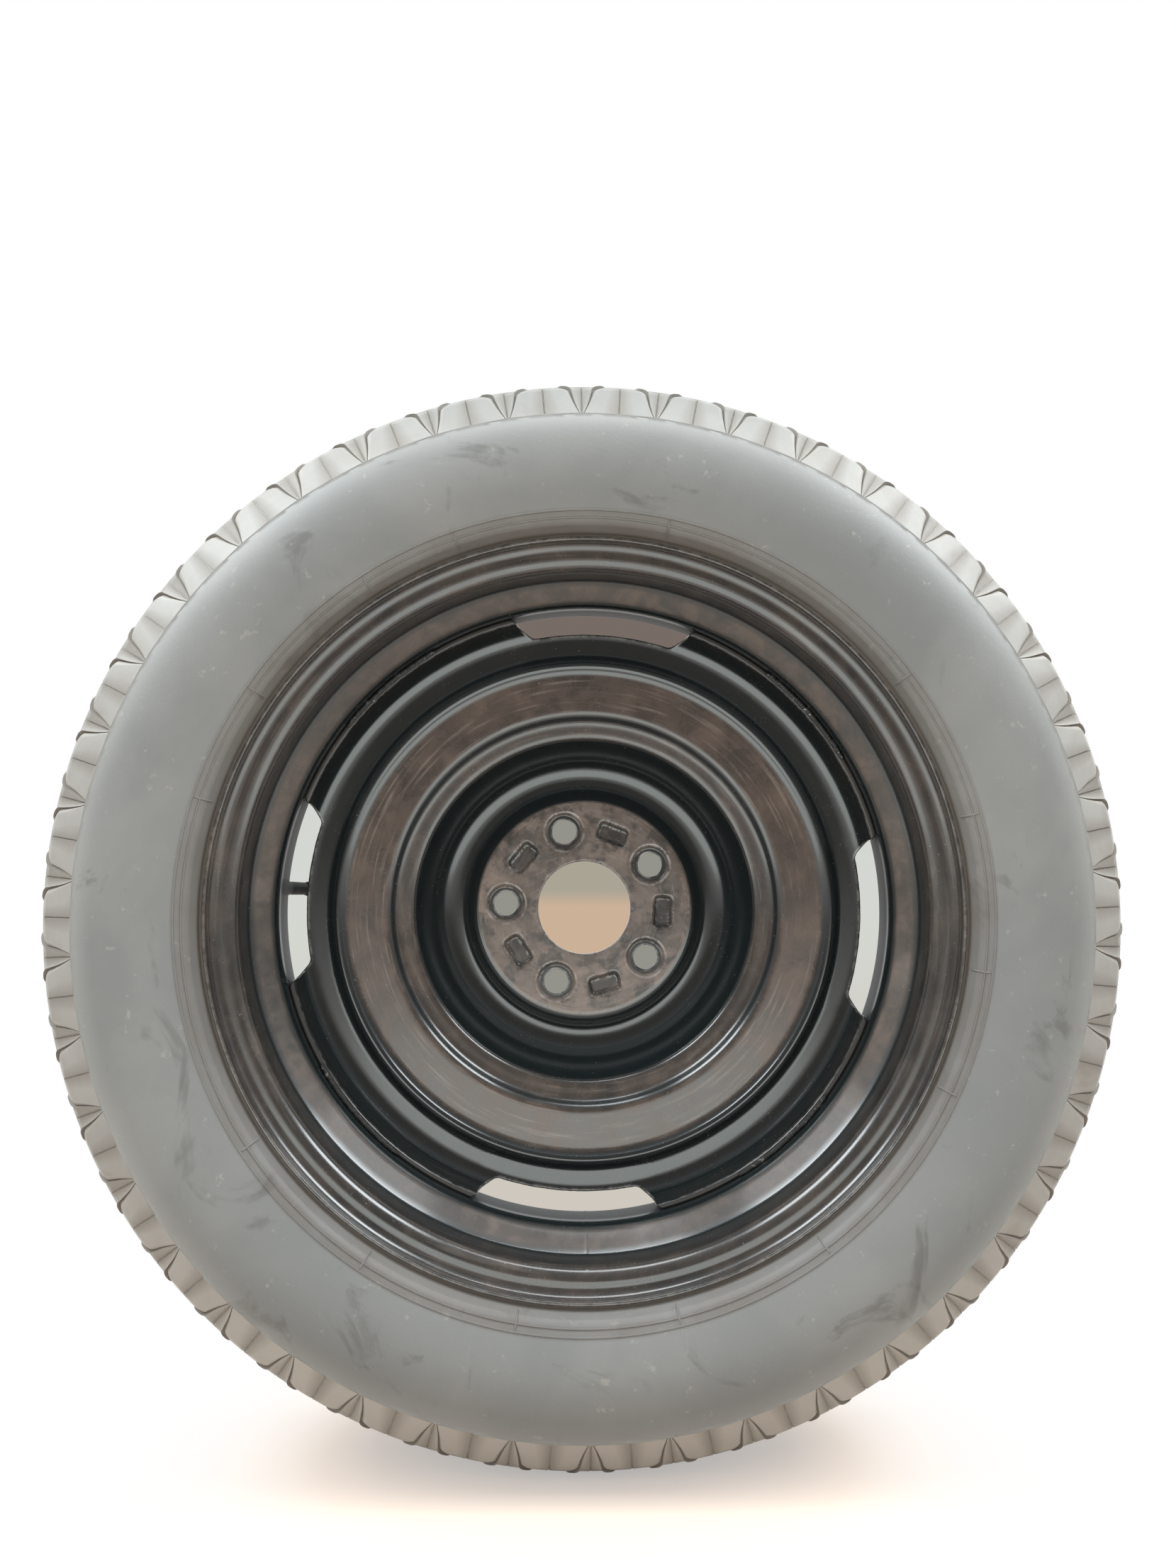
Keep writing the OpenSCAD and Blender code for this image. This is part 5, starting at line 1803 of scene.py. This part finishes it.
    def built(self) -> None:
        """Makes the whole studio."""
        bpy.context.scene.view_settings.view_transform = "Standard"
        self.camera()
        self.world()
        self.floor()
        self.card()
        self.lamp("Left ceiling light", (-1.75, -0.32, 1.85), (1.9, 1.1), 64.0, (0.91, 0.97, 1.0))
        self.lamp("Right ceiling light", (1.75, -0.32, 1.85), (1.9, 1.1), 64.0, (0.93, 0.98, 1.0))
        self.lamp("Middle ceiling light", (0.1, -0.35, 2.4), (1.8, 0.6), 26.0, (0.95, 0.98, 1.0))
        front = self.lamp("Front light", (-0.3, -2.4, 1.1), (2.4, 1.8), 32.0, (1.0, 0.99, 0.97))
        front.visible_glossy = False
        glow = self.lamp("Glow of the lit floor", (0.0, -0.95, -0.362), (2.6, 1.2), 15.0,
                         (0.86, 1.0, 0.99), (0.0, -0.94, 1.0))
        glow.visible_diffuse = False


class SpareWheel:
    """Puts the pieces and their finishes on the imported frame."""

    def __init__(self, frame: dict[str, Any]) -> None:
        """Makes the finishes.

        Args:
            frame: The loaded frame, which holds the CAD nodes' objects by name.
        """
        self.nodes = frame["nodes"]
        self.finish = {
            Slot.TYRE: TyreRubber().made(),
            Slot.PAINT: WheelPaint().made(),
            Slot.WELD: WeldPaint().made(),
            Slot.VALVE: Moulded("Valve rubber", (0.016, 0.016, 0.017), rough=0.5).made(),
            Slot.SEAL: Moulded("Seal rubber", (0.045, 0.04, 0.04)).made(),
            Slot.CAP: Moulded("Cap plastic", (0.022, 0.022, 0.023), rough=0.42).made(),
            Slot.BRASS: TurnedMetal("Valve brass", (0.72, 0.54, 0.26), (0.46, 0.34, 0.18)).made(),
            Slot.SPRING: TurnedMetal("Spring steel", (0.62, 0.62, 0.61), (0.42, 0.41, 0.40)).made(),
        }

    def add(self, shell: Shell, name: str, slot: Slot, body: str, node: str, sharp: float = CREASE) -> None:
        """Makes a piece, dresses it, sets it on its body and lets it stand for its CAD node.

        Args:
            shell: The piece's shell.
            name: Its name.
            slot: Its material slot.
            body: The body that it moves with.
            node: The CAD node that it replaces.
            sharp: Edges that turn by more than these degrees stay sharp.
        """
        obj = shell.into(name, sharp)
        obj.data.materials.append(self.finish[slot])
        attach(obj, body)
        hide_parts(node)

    def dress_nodes(self) -> None:
        """Gives every CAD node its finish, also those that a piece of the scene stands for."""
        dressed = {
            Slot.TYRE: ["tyre"],
            Slot.PAINT: ["rim", "wheel_disc"],
            Slot.WELD: [f"weld_bead_{i}" for i in range(1, 5)],
            Slot.VALVE: ["valve_body"],
            Slot.CAP: ["valve_cap"],
            Slot.BRASS: ["valve_stem", "valve_core_body", "valve_pin"],
            Slot.SEAL: ["valve_core_gasket", "valve_cup", "valve_cap_seal"],
            Slot.SPRING: ["valve_spring"],
        }
        for slot, names in dressed.items():
            for name in names:
                data = self.nodes[name].data
                data.materials.clear()
                data.materials.append(self.finish[slot])

    def built(self) -> None:
        """Builds every piece of the wheel."""
        self.dress_nodes()
        tyre = Tyre()
        for side, sign in (("inboard", 1), ("outboard", -1)):
            shell = tyre.half(sign).joined(tyre.ticks(sign))
            self.add(shell, f"tyre_{side}_half", Slot.TYRE, "wheel", "tyre", SOFT_CREASE)
        self.add(Rim().shell(), "rim_shell", Slot.PAINT, "wheel", "rim")
        self.add(Disc().ring(), "disc_ring", Slot.PAINT, "wheel", "wheel_disc")
        self.add(HubPad().shell(), "disc_hub_pad", Slot.PAINT, "wheel", "wheel_disc")
        for i in range(1, 5):
            seam = WeldBead(i).shell()
            self.add(seam, f"weld_seam_{i}", Slot.WELD, "wheel", f"weld_bead_{i}", SOFT_CREASE)
        valve = Valve()
        rubber, cap = valve.spun(valve.body_path), valve.spun(valve.cap_path, valve.ribs)
        self.add(rubber, "valve_rubber_body", Slot.VALVE, "wheel", "valve_body", VALVE_CREASE)
        self.add(cap, "valve_dust_cap", Slot.CAP, "cap", "valve_cap", VALVE_CREASE)


def main() -> None:
    """Loads the frame, builds the studio and the wheel, and keeps both boxes."""
    logging.basicConfig(level=logging.INFO, format="%(name)s: %(message)s")
    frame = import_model()
    Studio().built()
    SpareWheel(frame).built()
    bpy.context.view_layer.update()


if __name__ == "__main__":
    main()
